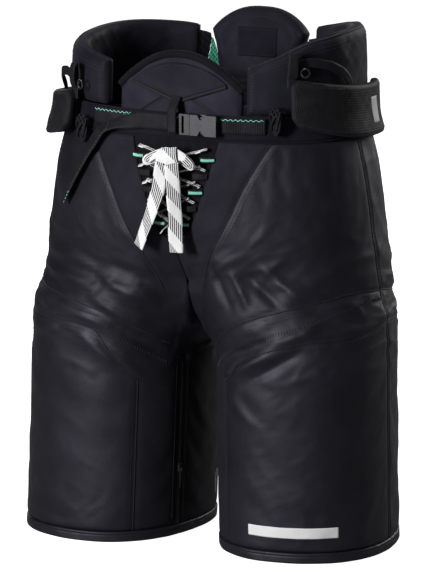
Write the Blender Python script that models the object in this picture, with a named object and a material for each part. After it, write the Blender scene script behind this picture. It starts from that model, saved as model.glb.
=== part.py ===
"""Ice hockey pants, built as separate sewn panels, pads, straps and fittings.

Metres, +Z up. The front of the garment faces -Y and the wearer's left is +X.
Angles run from the front (0) past the wearer's side (90) to the back (180).
"""

import math

import bpy
import numpy as np

GAP = 0.0003  # between neighbouring pieces, on each side of a seam
SIDES = (("left", 1.0), ("right", -1.0))

# Torso outline: half width, front depth and back depth at each height.
TORSO_POWER = 2.4
TORSO_WIDTH = ((0.27, 0.216), (0.312, 0.211), (0.37, 0.202), (0.43, 0.193),
               (0.47, 0.185), (0.52, 0.174), (0.62, 0.171))
TORSO_FRONT = ((0.27, 0.106), (0.335, 0.117), (0.39, 0.124), (0.44, 0.123),
               (0.49, 0.116), (0.54, 0.112), (0.62, 0.108))
TORSO_BACK = ((0.27, 0.124), (0.335, 0.138), (0.39, 0.147), (0.44, 0.144),
              (0.50, 0.137), (0.56, 0.139), (0.62, 0.144))
FRONT_GROOVE = ((0.27, 0.055), (0.312, 0.034), (0.35, 0.012), (0.39, 0.0), (0.62, 0.0))
BACK_GROOVE = ((0.27, 0.040), (0.312, 0.024), (0.37, 0.008), (0.42, 0.0), (0.62, 0.0))
GROOVE_HALF_WIDTH = 0.036

# Leg outline about its own axis, turned outwards at the front by TOE_OUT.
LEG_POWER = 2.25
LEG_CENTRE_X = 0.1123
LEG_OUTER = 0.1065
LEG_INNER = 0.0995
LEG_FRONT = 0.118
LEG_BACK = 0.122
TOE_OUT = 10.0
LEG_SPREAD = {"left": 0.0035, "right": 0.0105}  # outward shift at the hem
LEG_STRAIGHT_TOP = 0.26

# Heights of the seams that bound the torso and the legs, against the angle.
TORSO_HEM = ((-5, 0.312), (20, 0.325), (50, 0.335), (75, 0.322), (90, 0.308), (120, 0.292), (185, 0.285))
LEG_TOP = ((-125, 0.226), (-90, 0.222), (-55, 0.218), (-31, 0.228), (0, 0.246), (30, 0.256), (60, 0.266),
           (90, 0.272), (130, 0.262), (180, 0.246), (235, 0.226))
CROTCH_Z = 0.262
WAIST_SEAM_Z = 0.4875
WAISTBAND_TOP_Z = 0.517

# Panel edges.
FLY_EDGE = ((0.30, 0.0), (0.355, 0.0), (0.385, 0.022), (0.43, 0.038), (0.478, 0.052), (0.52, 0.060))
V_SEAM = ((0.30, 0.024), (0.32, 0.030), (0.355, 0.045), (0.39, 0.065),
          (0.435, 0.086), (0.48, 0.110), (0.52, 0.136))
SIDE_SEAM = 88.0
GUARD_SEAM = -31.0
ZIP_ANGLE = -64.0
ZIP_HALF = 3.0
INNER_BACK = -125.0

COVER = 0.004
GUARD_THICKNESS = 0.010
HEM_HEIGHT = 0.0125
HEM_THICKNESS = 0.010
HEM_TUCK = 0.0015

PAD_THICKNESS = 0.020
PLATE_THICKNESS = 0.003
PAD_FRONT_X = {"left": 0.084, "right": 0.099}
PAD_BACK_X = 0.080
PAD_RIM = {
    "left": ((35, 0.566), (50, 0.580), (70, 0.601), (90, 0.606), (115, 0.605), (140, 0.594), (155, 0.584)),
    "right": ((35, 0.564), (50, 0.570), (70, 0.579), (90, 0.586), (115, 0.589), (140, 0.585), (155, 0.578)),
}
BACK_PAD_BOTTOM = 0.521
BACK_PAD_EDGE = ((0.52, 0.052), (0.56, 0.058), (0.585, 0.064), (0.61, 0.064))
BACK_PAD_TOP = 0.6065
BACK_PAD_DROP = 0.028
BACK_PAD_THICKNESS = 0.024

FRONT_PAD_HALF = 0.079
FRONT_PAD_BOTTOM = 0.491
FRONT_PAD_TOP = 0.584
FRONT_PAD_DROP = 0.040

BELT_Z = 0.506
BELT_HALF = 0.0095
BELT_IN = 0.0026
BELT_OUT = 0.0044
BELT_END_X = 0.106

BUCKLE_LEFT_END = 0.0560
BUCKLE_MOUTH = 0.0225
BUCKLE_RIGHT_END = 0.0095
BUCKLE_HALF_HEIGHT = 0.0120
BUCKLE_BACK_Y = -0.1168
BUCKLE_FRONT_Y = -0.1258
BUCKLE_WALL = 0.0018

CUFF_ANGLES = (57.0, 118.0)
CUFF_INNER = {"left": 0.0045, "right": 0.0085}
CUFF_OUTER = {"left": 0.0155, "right": 0.0215}
CUFF_LOW = {
    "left": ((55, 0.508), (85, 0.487), (120, 0.480)),
    "right": ((55, 0.484), (85, 0.466), (120, 0.460)),
}
CUFF_HIGH = {
    "left": ((55, 0.563), (85, 0.549), (120, 0.541)),
    "right": ((55, 0.534), (85, 0.521), (120, 0.513)),
}

LACE_TUBE = 0.0021
LACE_TAIL_Y = -0.1385


def clear_scene():
    for item in list(bpy.data.objects):
        bpy.data.objects.remove(item, do_unlink=True)


def material(name, colour, roughness, metallic=0.0):
    made = bpy.data.materials.new(name)
    made.use_nodes = True
    shader = made.node_tree.nodes["Principled BSDF"]
    shader.inputs["Base Color"].default_value = (*colour, 1.0)
    shader.inputs["Roughness"].default_value = roughness
    shader.inputs["Metallic"].default_value = metallic
    made.diffuse_color = (*colour, 1.0)
    return made


NYLON = (0.020, 0.019, 0.026)
NAVY = (0.024, 0.023, 0.036)
BLACK = (0.012, 0.012, 0.014)
FOAM = (0.045, 0.045, 0.050)
PLASTIC = (0.10, 0.10, 0.11)
WHITE = (0.80, 0.80, 0.80)
GREEN = (0.02, 0.36, 0.22)
STEEL = (0.62, 0.62, 0.64)


def curve(table, at):
    """A smooth line through the table's points that never overshoots them."""
    xs = np.array([row[0] for row in table], float)
    ys = np.array([row[1] for row in table], float)
    at = np.clip(np.asarray(at, float), xs[0], xs[-1])
    rates = np.diff(ys) / np.diff(xs)
    same_way = rates[:-1] * rates[1:] > 0
    total = np.where(same_way, rates[:-1] + rates[1:], 1.0)
    inside = np.where(same_way, 2.0 * rates[:-1] * rates[1:] / total, 0.0)
    slopes = np.concatenate([rates[:1], inside, rates[-1:]])
    i = np.clip(np.searchsorted(xs, at) - 1, 0, len(xs) - 2)
    step = xs[i + 1] - xs[i]
    s = (at - xs[i]) / step
    rise = ys[i] * (2 * s**3 - 3 * s**2 + 1) + ys[i + 1] * (3 * s**2 - 2 * s**3)
    bend = slopes[i] * (s**3 - 2 * s**2 + s) + slopes[i + 1] * (s**3 - s**2)
    return rise + step * bend


def torso(angle, z):
    """The torso's outer surface at signed angles about the garment's middle."""
    angle, z = np.broadcast_arrays(np.radians(np.asarray(angle, float)), np.asarray(z, float))
    across, along = np.sin(angle), np.cos(angle)
    depth = np.where(along >= 0, curve(TORSO_FRONT, z), curve(TORSO_BACK, z))
    sideways = np.abs(across / curve(TORSO_WIDTH, z)) ** TORSO_POWER
    radius = (sideways + np.abs(along / depth) ** TORSO_POWER) ** (-1.0 / TORSO_POWER)
    x = radius * across
    near_middle = np.exp(-((x / GROOVE_HALF_WIDTH) ** 2))
    groove = np.where(along >= 0, curve(FRONT_GROOVE, z), -curve(BACK_GROOVE, z))
    return np.stack([x, -radius * along + groove * near_middle, z], axis=-1)


def torso_angle(x, z, back=False):
    """The angle at which the torso's outline reaches x at height z."""
    x, z = np.broadcast_arrays(np.asarray(x, float), np.asarray(z, float))
    depth = curve(TORSO_BACK if back else TORSO_FRONT, z)
    rest = 1.0 - np.abs(x / curve(TORSO_WIDTH, z)) ** TORSO_POWER
    y = depth * np.clip(rest, 0.0, 1.0) ** (1.0 / TORSO_POWER)
    return np.degrees(np.arctan2(x, -y if back else y))


def leg_axis_x(side, z):
    """How far out the leg's axis is; it leans outwards evenly towards the hem."""
    return LEG_CENTRE_X + LEG_SPREAD[side] * (1.0 - np.asarray(z, float) / LEG_STRAIGHT_TOP)


def leg_surface(side):
    """The leg's outer surface: angle 0 faces the front and 90 the outer side."""
    sign = 1.0 if side == "left" else -1.0

    def point(angle, z):
        angle, z = np.broadcast_arrays(np.asarray(angle, float), np.asarray(z, float))
        local = np.radians(angle - TOE_OUT)
        across, along = np.sin(local), np.cos(local)
        width = np.where(across >= 0, LEG_OUTER, LEG_INNER)
        depth = np.where(along >= 0, LEG_FRONT, LEG_BACK)
        total = np.abs(across / width) ** LEG_POWER + np.abs(along / depth) ** LEG_POWER
        radius = total ** (-1.0 / LEG_POWER)
        world = np.radians(angle)
        out = leg_axis_x(side, z) + radius * np.sin(world)
        return np.stack([sign * out, -radius * np.cos(world), z], axis=-1)

    return point


def flex_surface(side):
    """The soft zone that joins the torso's hem to the leg's top, as one ring."""
    sign = 1.0 if side == "left" else -1.0
    leg = leg_surface(side)
    outside = 0.78

    def upper(s):
        t = np.clip(s / outside, 0.0, 1.0)
        torso_part = torso(180.0 * t, curve(TORSO_HEM, 180.0 * t) - GAP)
        torso_part = torso_part * np.array([sign, 1.0, 1.0])
        k = np.clip((s - outside) / (1.0 - outside), 0.0, 1.0)
        back, front = torso(180.0, 0.285 - GAP), torso(0.0, 0.312 - GAP)
        y = back[1] + (front[1] - back[1]) * k
        straight = back[2] + (front[2] - back[2]) * k
        z = straight + (CROTCH_Z - straight) * np.sin(np.pi * k) ** 0.6
        crotch_part = np.stack([np.zeros_like(k), y, z], axis=-1)
        return np.where((s <= outside)[..., None], torso_part, crotch_part)

    def lower(s):
        t = np.clip(s / outside, 0.0, 1.0)
        k = np.clip((s - outside) / (1.0 - outside), 0.0, 1.0)
        angle = np.where(s <= outside, -55.0 + 290.0 * t, -125.0 + 70.0 * k)
        return leg(angle, curve(LEG_TOP, angle) + GAP)

    def point(s, v):
        s, v = np.broadcast_arrays(np.mod(np.asarray(s, float), 1.0), np.asarray(v, float))
        low, high = lower(s), upper(s)
        ease = v * v * (3.0 - 2.0 * v)
        flat = low + (high - low) * ease[..., None]
        flat[..., 2] = low[..., 2] + (high[..., 2] - low[..., 2]) * v
        return flat

    return point


def normals(surface, a, b, step_a, step_b, sign, level=True):
    """Outward directions; level ones stay horizontal, so seams keep their height."""
    along_a = surface(a + step_a, b) - surface(a - step_a, b)
    along_b = surface(a, b + step_b) - surface(a, b - step_b)
    found = np.cross(along_a, along_b) * sign
    if level:
        found[..., 2] = 0.0
    return found / np.linalg.norm(found, axis=-1, keepdims=True)


def add_mesh(name, points, faces, look, smooth=True):
    mesh = bpy.data.meshes.new(name)
    mesh.from_pydata([tuple(map(float, p)) for p in points], [], faces)
    mesh.update()
    for face in mesh.polygons:
        face.use_smooth = smooth
    made = bpy.data.objects.new(name, mesh)
    bpy.context.collection.objects.link(made)
    made.data.materials.append(look)
    turn_outwards(mesh)
    return made


def turn_outwards(mesh):
    """Flips a closed mesh whose faces enclose a negative volume."""
    volume = 0.0
    for face in mesh.polygons:
        corners = [mesh.vertices[i].co for i in face.vertices]
        for k in range(1, len(corners) - 1):
            volume += corners[0].dot(corners[k].cross(corners[k + 1]))
    if volume < 0:
        mesh.flip_normals()


def grid_faces(rows, columns, start, closed, flip):
    """Quads between neighbouring rows; closed joins the last row to the first."""
    faces = []
    for i in range(rows if closed else rows - 1):
        for j in range(columns - 1):
            here, there = start + i * columns + j, start + ((i + 1) % rows) * columns + j
            quad = (here, there, there + 1, here + 1)
            faces.append(quad[::-1] if flip else quad)
    return faces


def wall_faces(rows, columns, offset, closed):
    """Strips that join the outer layer's edges to the inner layer's."""
    edges = []
    for i in range(rows if closed else rows - 1):
        j = (i + 1) % rows
        edges.append((j * columns, i * columns))
        edges.append((i * columns + columns - 1, j * columns + columns - 1))
    if not closed:
        for j in range(columns - 1):
            edges.append((j, j + 1))
            last = (rows - 1) * columns
            edges.append((last + j + 1, last + j))
    return [(a, b, b + offset, a + offset) for a, b in edges]


def slab(name, surface, a, b, outer, inner, look, sign=1.0, closed=False, steps=(0.2, 0.0005),
         level=True):
    """A closed solid between two offsets of a surface over a grid of (a, b)."""
    a, b = np.broadcast_arrays(np.asarray(a, float), np.asarray(b, float))
    outward = normals(surface, a, b, *steps, sign, level)
    base = surface(a, b)
    outer_points = base + outward * np.asarray(outer)[..., None]
    inner_points = base + outward * np.asarray(inner)[..., None]
    rows, columns = a.shape
    points = np.concatenate([outer_points.reshape(-1, 3), inner_points.reshape(-1, 3)])
    offset = rows * columns
    faces = grid_faces(rows, columns, 0, closed, False)
    faces += grid_faces(rows, columns, offset, closed, True)
    faces += wall_faces(rows, columns, offset, closed)
    return add_mesh(name, points, faces, look)


def patch(low_a, high_a, low_b, high_b, rows, columns):
    """A grid whose a-edges depend on b, and whose b-edges depend on a."""
    u = np.linspace(0.0, 1.0, rows)[:, None]
    v = np.linspace(0.0, 1.0, columns)[None, :]
    b = np.full((rows, columns), 0.5)
    a = np.full((rows, columns), 0.5)
    middle = 0.5 * (low_b(0.0) + high_b(0.0))
    b[:] = middle
    for _ in range(6):
        a = low_a(b) + (high_a(b) - low_a(b)) * u
        b = low_b(a) + (high_b(a) - low_b(a)) * v
    return a, b


def constant(value):
    return lambda other: np.zeros_like(np.asarray(other, float)) + value


def torso_panel(name, side, low_x, high_x, low_z, high_z, outer, inner, look, shape):
    """A panel of the torso, between edges given as angles against height."""
    a, z = patch(low_x, high_x, low_z, high_z, *shape)
    sign = 1.0 if side == "left" else -1.0

    def surface(angle, height):
        return torso(sign * angle, height)

    return slab(name, surface, a, z, outer, inner, look, sign)


def fly_angle(z):
    return torso_angle(np.maximum(curve(FLY_EDGE, z) + GAP, GAP), z)


def v_seam_angle(z, shift):
    return torso_angle(curve(V_SEAM, z) + shift, z)


def torso_hem(angle):
    return curve(TORSO_HEM, angle) + GAP


def torso_panels(side, nylon, navy):
    top = constant(WAIST_SEAM_Z - GAP)
    torso_panel(f"stretch_panel_{side}", side, fly_angle, lambda z: v_seam_angle(z, -GAP),
                torso_hem, top, 0.0, -0.003, navy, (6, 14))
    torso_panel(f"hip_panel_{side}", side, lambda z: v_seam_angle(z, GAP),
                constant(SIDE_SEAM - 0.15), torso_hem, top, 0.0, -COVER, nylon, (11, 8))
    torso_panel(f"seat_panel_{side}", side, constant(SIDE_SEAM + 0.15), constant(180.0 - 0.12),
                torso_hem, top, 0.0, -COVER, nylon, (13, 8))


def fly_tongue(look):
    z = np.linspace(0.379, 0.483, 7)[None, :]
    edge = np.radians(fly_angle(z))
    angle = np.degrees(edge * np.linspace(-0.96, 0.96, 7)[:, None])
    slab("fly_tongue", torso, angle, z + 0 * angle, -0.0048, -0.0074, look)


def waistband(look):
    angle = np.linspace(-180.0, 180.0, 48, endpoint=False)[:, None]
    z = np.array([WAIST_SEAM_Z + GAP, 0.5, WAISTBAND_TOP_Z - GAP])[None, :]
    slab("waistband", torso, angle + 0 * z, z + 0 * angle, 0.0, -0.006, look, closed=True)


def hip_pad(side, cover, plate):
    rim = PAD_RIM[side]

    def front(inset):
        return lambda z: torso_angle(PAD_FRONT_X[side] + inset, z)

    def back(inset):
        return lambda z: torso_angle(PAD_BACK_X + inset, z, back=True)

    def top(inset):
        return lambda angle: curve(rim, angle) - inset

    torso_panel(f"hip_pad_{side}", side, front(0.0), back(0.0), constant(WAISTBAND_TOP_Z + GAP),
                top(0.0), -PLATE_THICKNESS - 3 * GAP, -PAD_THICKNESS, cover, (15, 6))
    torso_panel(f"hip_plate_{side}", side, front(0.010), back(0.010),
                constant(WAISTBAND_TOP_Z + 0.006), top(0.009), -GAP, -PLATE_THICKNESS, plate, (13, 5))


def back_pad_grid(inset, rows, columns):
    """Angles and heights of the back pad's domed outline, less an inset."""
    u = np.linspace(-1.0, 1.0, rows)[:, None]
    v = np.linspace(0.0, 1.0, columns)[None, :]
    top = BACK_PAD_TOP - BACK_PAD_DROP * np.abs(u) ** 2.6 - inset
    low = BACK_PAD_BOTTOM + inset
    z = low + (top - low) * v
    half = curve(BACK_PAD_EDGE, z) - inset
    angle = torso_angle(half, z, back=True)
    return 180.0 - u * (180.0 - angle), z


def back_pad(cover, plate):
    a, z = back_pad_grid(0.0, 13, 7)
    slab("back_pad", torso, a, z, -PLATE_THICKNESS - 3 * GAP, -BACK_PAD_THICKNESS, cover)
    a, z = back_pad_grid(0.010, 9, 5)
    slab("spine_plate", torso, a, z, -GAP, -PLATE_THICKNESS, plate)


def mesh_gusset(side, look):
    """A thin net that closes the slit between the hip pad and the back pad."""
    sign = 1.0 if side == "left" else -1.0
    z = np.linspace(WAISTBAND_TOP_Z + 0.004, 0.572, 6)[None, :]
    outer_edge = torso_angle(PAD_BACK_X - 0.0008, z, back=True)
    inner_edge = torso_angle(curve(BACK_PAD_EDGE, z) + 0.0012, z, back=True)
    angle = outer_edge + (inner_edge - outer_edge) * np.linspace(0.0, 1.0, 3)[:, None]

    def surface(turn, height):
        return torso(sign * turn, height)

    slab(f"mesh_gusset_{side}", surface, angle, z + 0 * angle, -0.011, -0.012, look, sign)


def front_pad(cover, badge):
    """The abdominal pad: an arch of padding with a raised badge on it."""
    u = np.linspace(-1.0, 1.0, 17)[:, None]
    v = np.linspace(0.0, 1.0, 7)[None, :]
    top = FRONT_PAD_TOP - FRONT_PAD_DROP * np.abs(u) ** 2.2
    z = FRONT_PAD_BOTTOM + (top - FRONT_PAD_BOTTOM) * v
    angle = torso_angle(FRONT_PAD_HALF, z) * u
    slab("front_pad", torso, angle, z, -0.0068, -0.0190, cover)
    u = np.linspace(-1.0, 1.0, 13)[:, None]
    v = np.linspace(0.0, 1.0, 4)[None, :]
    high = FRONT_PAD_TOP - 0.011 - 0.026 * np.abs(u) ** 2.2
    low = 0.534 + 0.008 * np.abs(u)
    z = low + (high - low) * v
    angle = torso_angle(0.058, z) * u
    slab("front_badge", torso, angle, z, -0.0042, -0.0065, badge)


def box_points(low, high):
    return [(x, y, z) for x in (low[0], high[0]) for y in (low[1], high[1]) for z in (low[2], high[2])]


BOX_FACES = [(0, 1, 3, 2), (4, 6, 7, 5), (0, 4, 5, 1), (2, 3, 7, 6), (0, 2, 6, 4), (1, 5, 7, 3)]


def box(name, low, high, look):
    return add_mesh(name, box_points(low, high), BOX_FACES, look, smooth=False)


def combine(target, other, operation):
    """Applies an exact Boolean of two closed solids and removes the second."""
    step = target.modifiers.new("combine", "BOOLEAN")
    step.operation = operation
    step.solver = "EXACT"
    step.object = other
    seen = bpy.context.evaluated_depsgraph_get()
    result = bpy.data.meshes.new_from_object(target.evaluated_get(seen))
    target.modifiers.clear()
    target.data = result
    bpy.data.objects.remove(other, do_unlink=True)


def ribbon(name, path, width_vector, thickness, look, closed=False):
    """A flat strip along a path, with its width along a fixed direction."""
    path = np.asarray(path, float)
    width = np.asarray(width_vector, float)
    across = width / np.linalg.norm(width)
    if closed:
        tangent = np.roll(path, -1, axis=0) - np.roll(path, 1, axis=0)
    else:
        tangent = np.gradient(path, axis=0)
    tangent /= np.linalg.norm(tangent, axis=1, keepdims=True)
    face = np.cross(tangent, across)
    face /= np.linalg.norm(face, axis=1, keepdims=True)
    half_t, half_w = 0.5 * thickness * face, 0.5 * width
    rings = [path + half_t + half_w, path + half_t - half_w, path - half_t - half_w, path - half_t + half_w]
    points = np.stack(rings, axis=1).reshape(-1, 3)
    count = len(path)
    faces = []
    for i in range(count if closed else count - 1):
        j = (i + 1) % count
        for k in range(4):
            m = (k + 1) % 4
            faces.append((4 * i + k, 4 * i + m, 4 * j + m, 4 * j + k))
    if not closed:
        faces += [(3, 2, 1, 0), tuple(4 * (count - 1) + k for k in range(4))]
    return add_mesh(name, points, faces, look, smooth=False)


def belt_strap(name, start_x, end_x, look):
    """Webbing that lies on the waistband between two distances from the middle."""
    angle = torso_angle(np.linspace(start_x, end_x, 9), BELT_Z)[:, None]
    z = np.array([BELT_Z - BELT_HALF, BELT_Z + BELT_HALF])[None, :]
    slab(name, torso, angle + 0 * z, z + 0 * angle, BELT_OUT, BELT_IN, look)


def keeper_loop(look):
    """A hanging loop: down in front of the belt, under it and up behind it."""
    front_y = float(torso(0.0, BELT_Z)[1])
    face_y = front_y - BELT_OUT - 0.0058
    low = BELT_Z - BELT_HALF - 0.0022

    def behind(z):
        return (0.0, float(torso(0.0, z)[1]) - 0.0013, z)

    path = [
        (0.0, front_y + 0.0042, 0.5355),
        (0.0, front_y + 0.0015, 0.5325),
        (0.0, face_y + 0.0012, 0.5225),
        (0.0, face_y, 0.5180),
        (0.0, face_y, BELT_Z),
        (0.0, face_y, low + 0.0022),
        (0.0, face_y + 0.0024, low),
        (0.0, front_y - 0.0040, low),
        behind(low + 0.0022),
        behind(BELT_Z),
        behind(0.5150),
    ]
    ribbon("keeper_loop", path, (0.011, 0.0, 0.0), 0.0013, look)


def buckle_female(look):
    """The housing: a pocket open towards the wearer's right, notched top and bottom."""
    low = (BUCKLE_MOUTH + 0.0006, BUCKLE_FRONT_Y, BELT_Z - BUCKLE_HALF_HEIGHT)
    high = (BUCKLE_LEFT_END, BUCKLE_BACK_Y, BELT_Z + BUCKLE_HALF_HEIGHT)
    body = box("buckle_female", low, high, look)
    pocket_low = (BUCKLE_MOUTH - 0.005, BUCKLE_FRONT_Y + BUCKLE_WALL, low[2] + BUCKLE_WALL)
    pocket_high = (0.0490, BUCKLE_BACK_Y - BUCKLE_WALL, high[2] - BUCKLE_WALL)
    combine(body, box("pocket", pocket_low, pocket_high, look), "DIFFERENCE")
    for direction in (-1.0, 1.0):
        edge = BELT_Z + direction * (BUCKLE_HALF_HEIGHT + 0.001)
        tip = BELT_Z + direction * (BUCKLE_HALF_HEIGHT - 0.0055)
        corners = [(0.0320, edge), (0.0420, edge), (0.0385, tip), (0.0355, tip)]
        points = [(x, BUCKLE_FRONT_Y - 0.001, z) for x, z in corners]
        points += [(x, BUCKLE_BACK_Y - 0.0022, z) for x, z in corners]
        sides = [(k, (k + 1) % 4, (k + 1) % 4 + 4, k + 4) for k in range(4)]
        notch = add_mesh("notch", points, [(3, 2, 1, 0), (4, 5, 6, 7)] + sides, look, smooth=False)
        combine(body, notch, "DIFFERENCE")


def buckle_male(look):
    """The adjuster: a frame with a bar for the webbing, and a guide tongue."""
    low = (BUCKLE_RIGHT_END, BUCKLE_FRONT_Y + 0.001, BELT_Z - BUCKLE_HALF_HEIGHT)
    high = (BUCKLE_MOUTH - 0.0004, BUCKLE_BACK_Y, BELT_Z + BUCKLE_HALF_HEIGHT)
    body = box("buckle_male", low, high, look)
    tongue_low = (BUCKLE_MOUTH - 0.004, -0.1225, BELT_Z - 0.0022)
    tongue_high = (0.0475, -0.1205, BELT_Z + 0.0022)
    combine(body, box("tongue", tongue_low, tongue_high, look), "UNION")
    slot_low = (0.0125, BUCKLE_FRONT_Y - 0.002, BELT_Z - 0.0100)
    slot_high = (0.0155, BUCKLE_BACK_Y + 0.002, BELT_Z + 0.0100)
    combine(body, box("slot", slot_low, slot_high, look), "DIFFERENCE")


def prong(name, direction, look):
    """A springy arm of the male half, with a barb that points away from the guide."""
    root, tip = BUCKLE_MOUTH + 0.0002, 0.0455
    outline = [
        (root, 0.0052), (0.0330, 0.0052), (tip - 0.0010, 0.0052), (tip, 0.0066),
        (0.0390, 0.0094), (0.0350, 0.0094), (0.0345, 0.0080), (root, 0.0080),
    ]
    count = len(outline)
    points = [(x, -0.1229, BELT_Z + direction * z) for x, z in outline]
    points += [(x, -0.1201, BELT_Z + direction * z) for x, z in outline]
    faces = [tuple(range(count)), tuple(range(2 * count - 1, count - 1, -1))]
    faces += [(k, k + count, (k + 1) % count + count, (k + 1) % count) for k in range(count)]
    add_mesh(name, points, faces, look, smooth=False)


def tube(name, points, radius, look):
    """A free cord as a plain round tube with flat ends."""
    data = bpy.data.curves.new(name, "CURVE")
    data.dimensions = "3D"
    data.bevel_depth = radius
    data.bevel_resolution = 2
    data.use_fill_caps = True
    line = data.splines.new("POLY")
    line.points.add(len(points) - 1)
    for slot, place in zip(line.points, points):
        slot.co = (*map(float, place), 1.0)
    made = bpy.data.objects.new(name, data)
    bpy.context.collection.objects.link(made)
    data.materials.append(look)


def smooth_path(knots, count):
    """Evenly spread points on a smooth line through a few places."""
    knots = np.asarray(knots, float)
    legs = np.linalg.norm(np.diff(knots, axis=0), axis=1)
    at = np.concatenate([[0.0], np.cumsum(legs)])
    want = np.linspace(0.0, at[-1], count)
    return np.stack([curve(list(zip(at, knots[:, k])), want) for k in range(3)], axis=1)


def strap_tail(look):
    """The belt's free end: back along the belt, then down over the hip."""
    over = [torso(torso_angle(x, z), z) for x, z in
            ((0.0035, 0.506), (-0.030, 0.5065), (-0.065, 0.5035), (-0.092, 0.493))]
    lift = np.array([0.0, -0.0072, 0.0])
    knots = [p + lift for p in over]
    knots += [torso(-47.0, 0.470) + lift, torso(-53.0, 0.437) + lift, torso(-59.0, 0.402) + lift]
    tube("strap_tail", smooth_path(knots, 48), 0.0018, look)


def cuff(side, sign, look):
    """A padded sleeve of the hip belt, standing just off the garment's side."""
    u = np.linspace(CUFF_ANGLES[0], CUFF_ANGLES[1], 9)[:, None]
    v = np.linspace(0.0, 1.0, 5)[None, :]
    low, high = curve(CUFF_LOW[side], u), curve(CUFF_HIGH[side], u)
    z = low + (high - low) * v

    def surface(angle, height):
        return torso(sign * angle, height)

    bulge = 0.0035 * (4.0 * v * (1.0 - v)) + 0.0 * u
    slab(f"cuff_{side}", surface, u + 0 * z, z, CUFF_OUTER[side] - 0.0035 + bulge,
         CUFF_INNER[side], look, sign)


def cuff_corner(side, sign, lift):
    """A point off the cuff's top front corner, and the outward direction there."""
    angle = np.array([CUFF_ANGLES[0] + 1.0])
    z = curve(CUFF_HIGH[side], angle) + lift

    def surface(turn, height):
        return torso(sign * turn, height)

    outward = normals(surface, angle, z, 0.2, 0.0005, sign)[0]
    return surface(angle, z)[0], outward


def cuff_loop(side, sign, look):
    """A standing loop of webbing above the cuff's top front corner."""
    middle, outward = cuff_corner(side, sign, 0.0158)
    along = np.cross((0.0, 0.0, 1.0), outward)
    turns = np.radians(np.arange(0, 360, 24))
    path = [middle + outward * (0.0125 + 0.0042 * math.cos(t)) + np.array([0, 0, 0.0140 * math.sin(t)])
            for t in turns]
    ribbon(f"cuff_loop_{side}", path, along * 0.011, 0.0016, look, closed=True)


def cuff_ring(side, sign, look):
    """A small ring at the foot of the loop."""
    middle, outward = cuff_corner(side, sign, 0.0035)
    along = np.cross((0.0, 0.0, 1.0), outward)
    middle = middle + outward * 0.0125 + along * 0.0135
    points, faces = ring_mesh(middle, along, np.array([0.0, 0.0, 1.0]), 0.0050, 0.0010, 16, 6)
    points = points + np.array([0.0, 0.0, 0.0030])
    add_mesh(f"cuff_ring_{side}", points, faces, look)


def ring_mesh(middle, first, second, radius, wire, around, section):
    axis = np.cross(first, second)
    points, faces = [], []
    for i in range(around):
        t = 2 * math.pi * i / around
        out = first * math.cos(t) + second * math.sin(t)
        for j in range(section):
            p = 2 * math.pi * j / section
            points.append(middle + out * (radius + wire * math.cos(p)) + axis * wire * math.sin(p))
            a, b = i * section + j, i * section + (j + 1) % section
            c, d = ((i + 1) % around) * section + (j + 1) % section, ((i + 1) % around) * section + j
            faces.append((a, b, c, d))
    return np.array(points), faces


def ball(name, middle, radii, look, rings=8, around=12, turn=0.0):
    """An ellipsoid, turned about Y by an angle in degrees."""
    cosine, sine = math.cos(math.radians(turn)), math.sin(math.radians(turn))
    points = [(0.0, 0.0, radii[2])]
    for i in range(1, rings):
        tilt = math.pi * i / rings
        for j in range(around):
            spin = 2 * math.pi * j / around
            points.append((radii[0] * math.sin(tilt) * math.cos(spin),
                           radii[1] * math.sin(tilt) * math.sin(spin), radii[2] * math.cos(tilt)))
    points.append((0.0, 0.0, -radii[2]))
    last = len(points) - 1
    faces = [(0, 1 + j, 1 + (j + 1) % around) for j in range(around)]
    for i in range(rings - 2):
        for j in range(around):
            a, b = 1 + i * around + j, 1 + i * around + (j + 1) % around
            faces.append((a, a + around, b + around, b))
    start = last - around
    faces += [(last, start + (j + 1) % around, start + j) for j in range(around)]
    placed = [(middle[0] + x * cosine + z * sine, middle[1] + y, middle[2] - x * sine + z * cosine)
              for x, y, z in points]
    return add_mesh(name, placed, faces, look)


def cuff_knot(side, sign, look):
    """The bunched knot of cord by the cuff's lower front corner."""
    z = float(curve(CUFF_LOW[side], CUFF_ANGLES[0])) + 0.004
    place = torso(sign * (CUFF_ANGLES[0] - 6.5), z)
    outward = np.array([sign * 0.55, -0.83, 0.0])
    ball(f"cuff_knot_{side}", place + outward * 0.0110, (0.0075, 0.0065, 0.0100), look)


def lace_rows(look):
    """The lace between the loops, laid back and forth down the fly."""
    rows = ((0.466, 0.044), (0.447, 0.037), (0.428, 0.031), (0.409, 0.024), (0.390, 0.015))
    line = []
    for k, (z, half) in enumerate(rows):
        way = 1.0 if k % 2 == 0 else -1.0
        line += [(-way * half * 0.85, z), (0.0, z), (way * half * 0.85, z)]
        if k + 1 < len(rows):
            drop = z - rows[k + 1][0]
            line.append((way * half, z - 0.28 * drop))
            line.append((way * half * 0.99, z - 0.72 * drop))
    line = np.array(line)
    ease = smooth_path(np.column_stack([line, np.zeros(len(line))]), 70)[:, :2]
    tangent = np.gradient(ease, axis=0)
    tangent /= np.linalg.norm(tangent, axis=1, keepdims=True)
    across = np.stack([-tangent[:, 1], tangent[:, 0]], axis=1) * 0.0028
    x = np.stack([ease[:, 0] + across[:, 0], ease[:, 0] - across[:, 0]], axis=1)
    z = np.stack([ease[:, 1] + across[:, 1], ease[:, 1] - across[:, 1]], axis=1)
    angle = torso_angle(x, z)
    slab("lace_rows", torso, angle, z, 0.0050, 0.0032, look)


def lace_bow(look):
    """The knot with its two leaf-shaped loops."""
    body = ball("lace_bow", (0.002, -0.1340, 0.471), (0.0120, 0.0065, 0.0090), look)
    for way, turn in ((-1.0, -16.0), (1.0, 24.0)):
        leaf = ball("leaf", (0.002 + way * 0.0165, -0.1340, 0.4715 + 0.002 * way),
                    (0.0160, 0.0045, 0.0068), look, turn=way * abs(turn))
        combine(body, leaf, "UNION")
    for face in body.data.polygons:
        face.use_smooth = True


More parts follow.
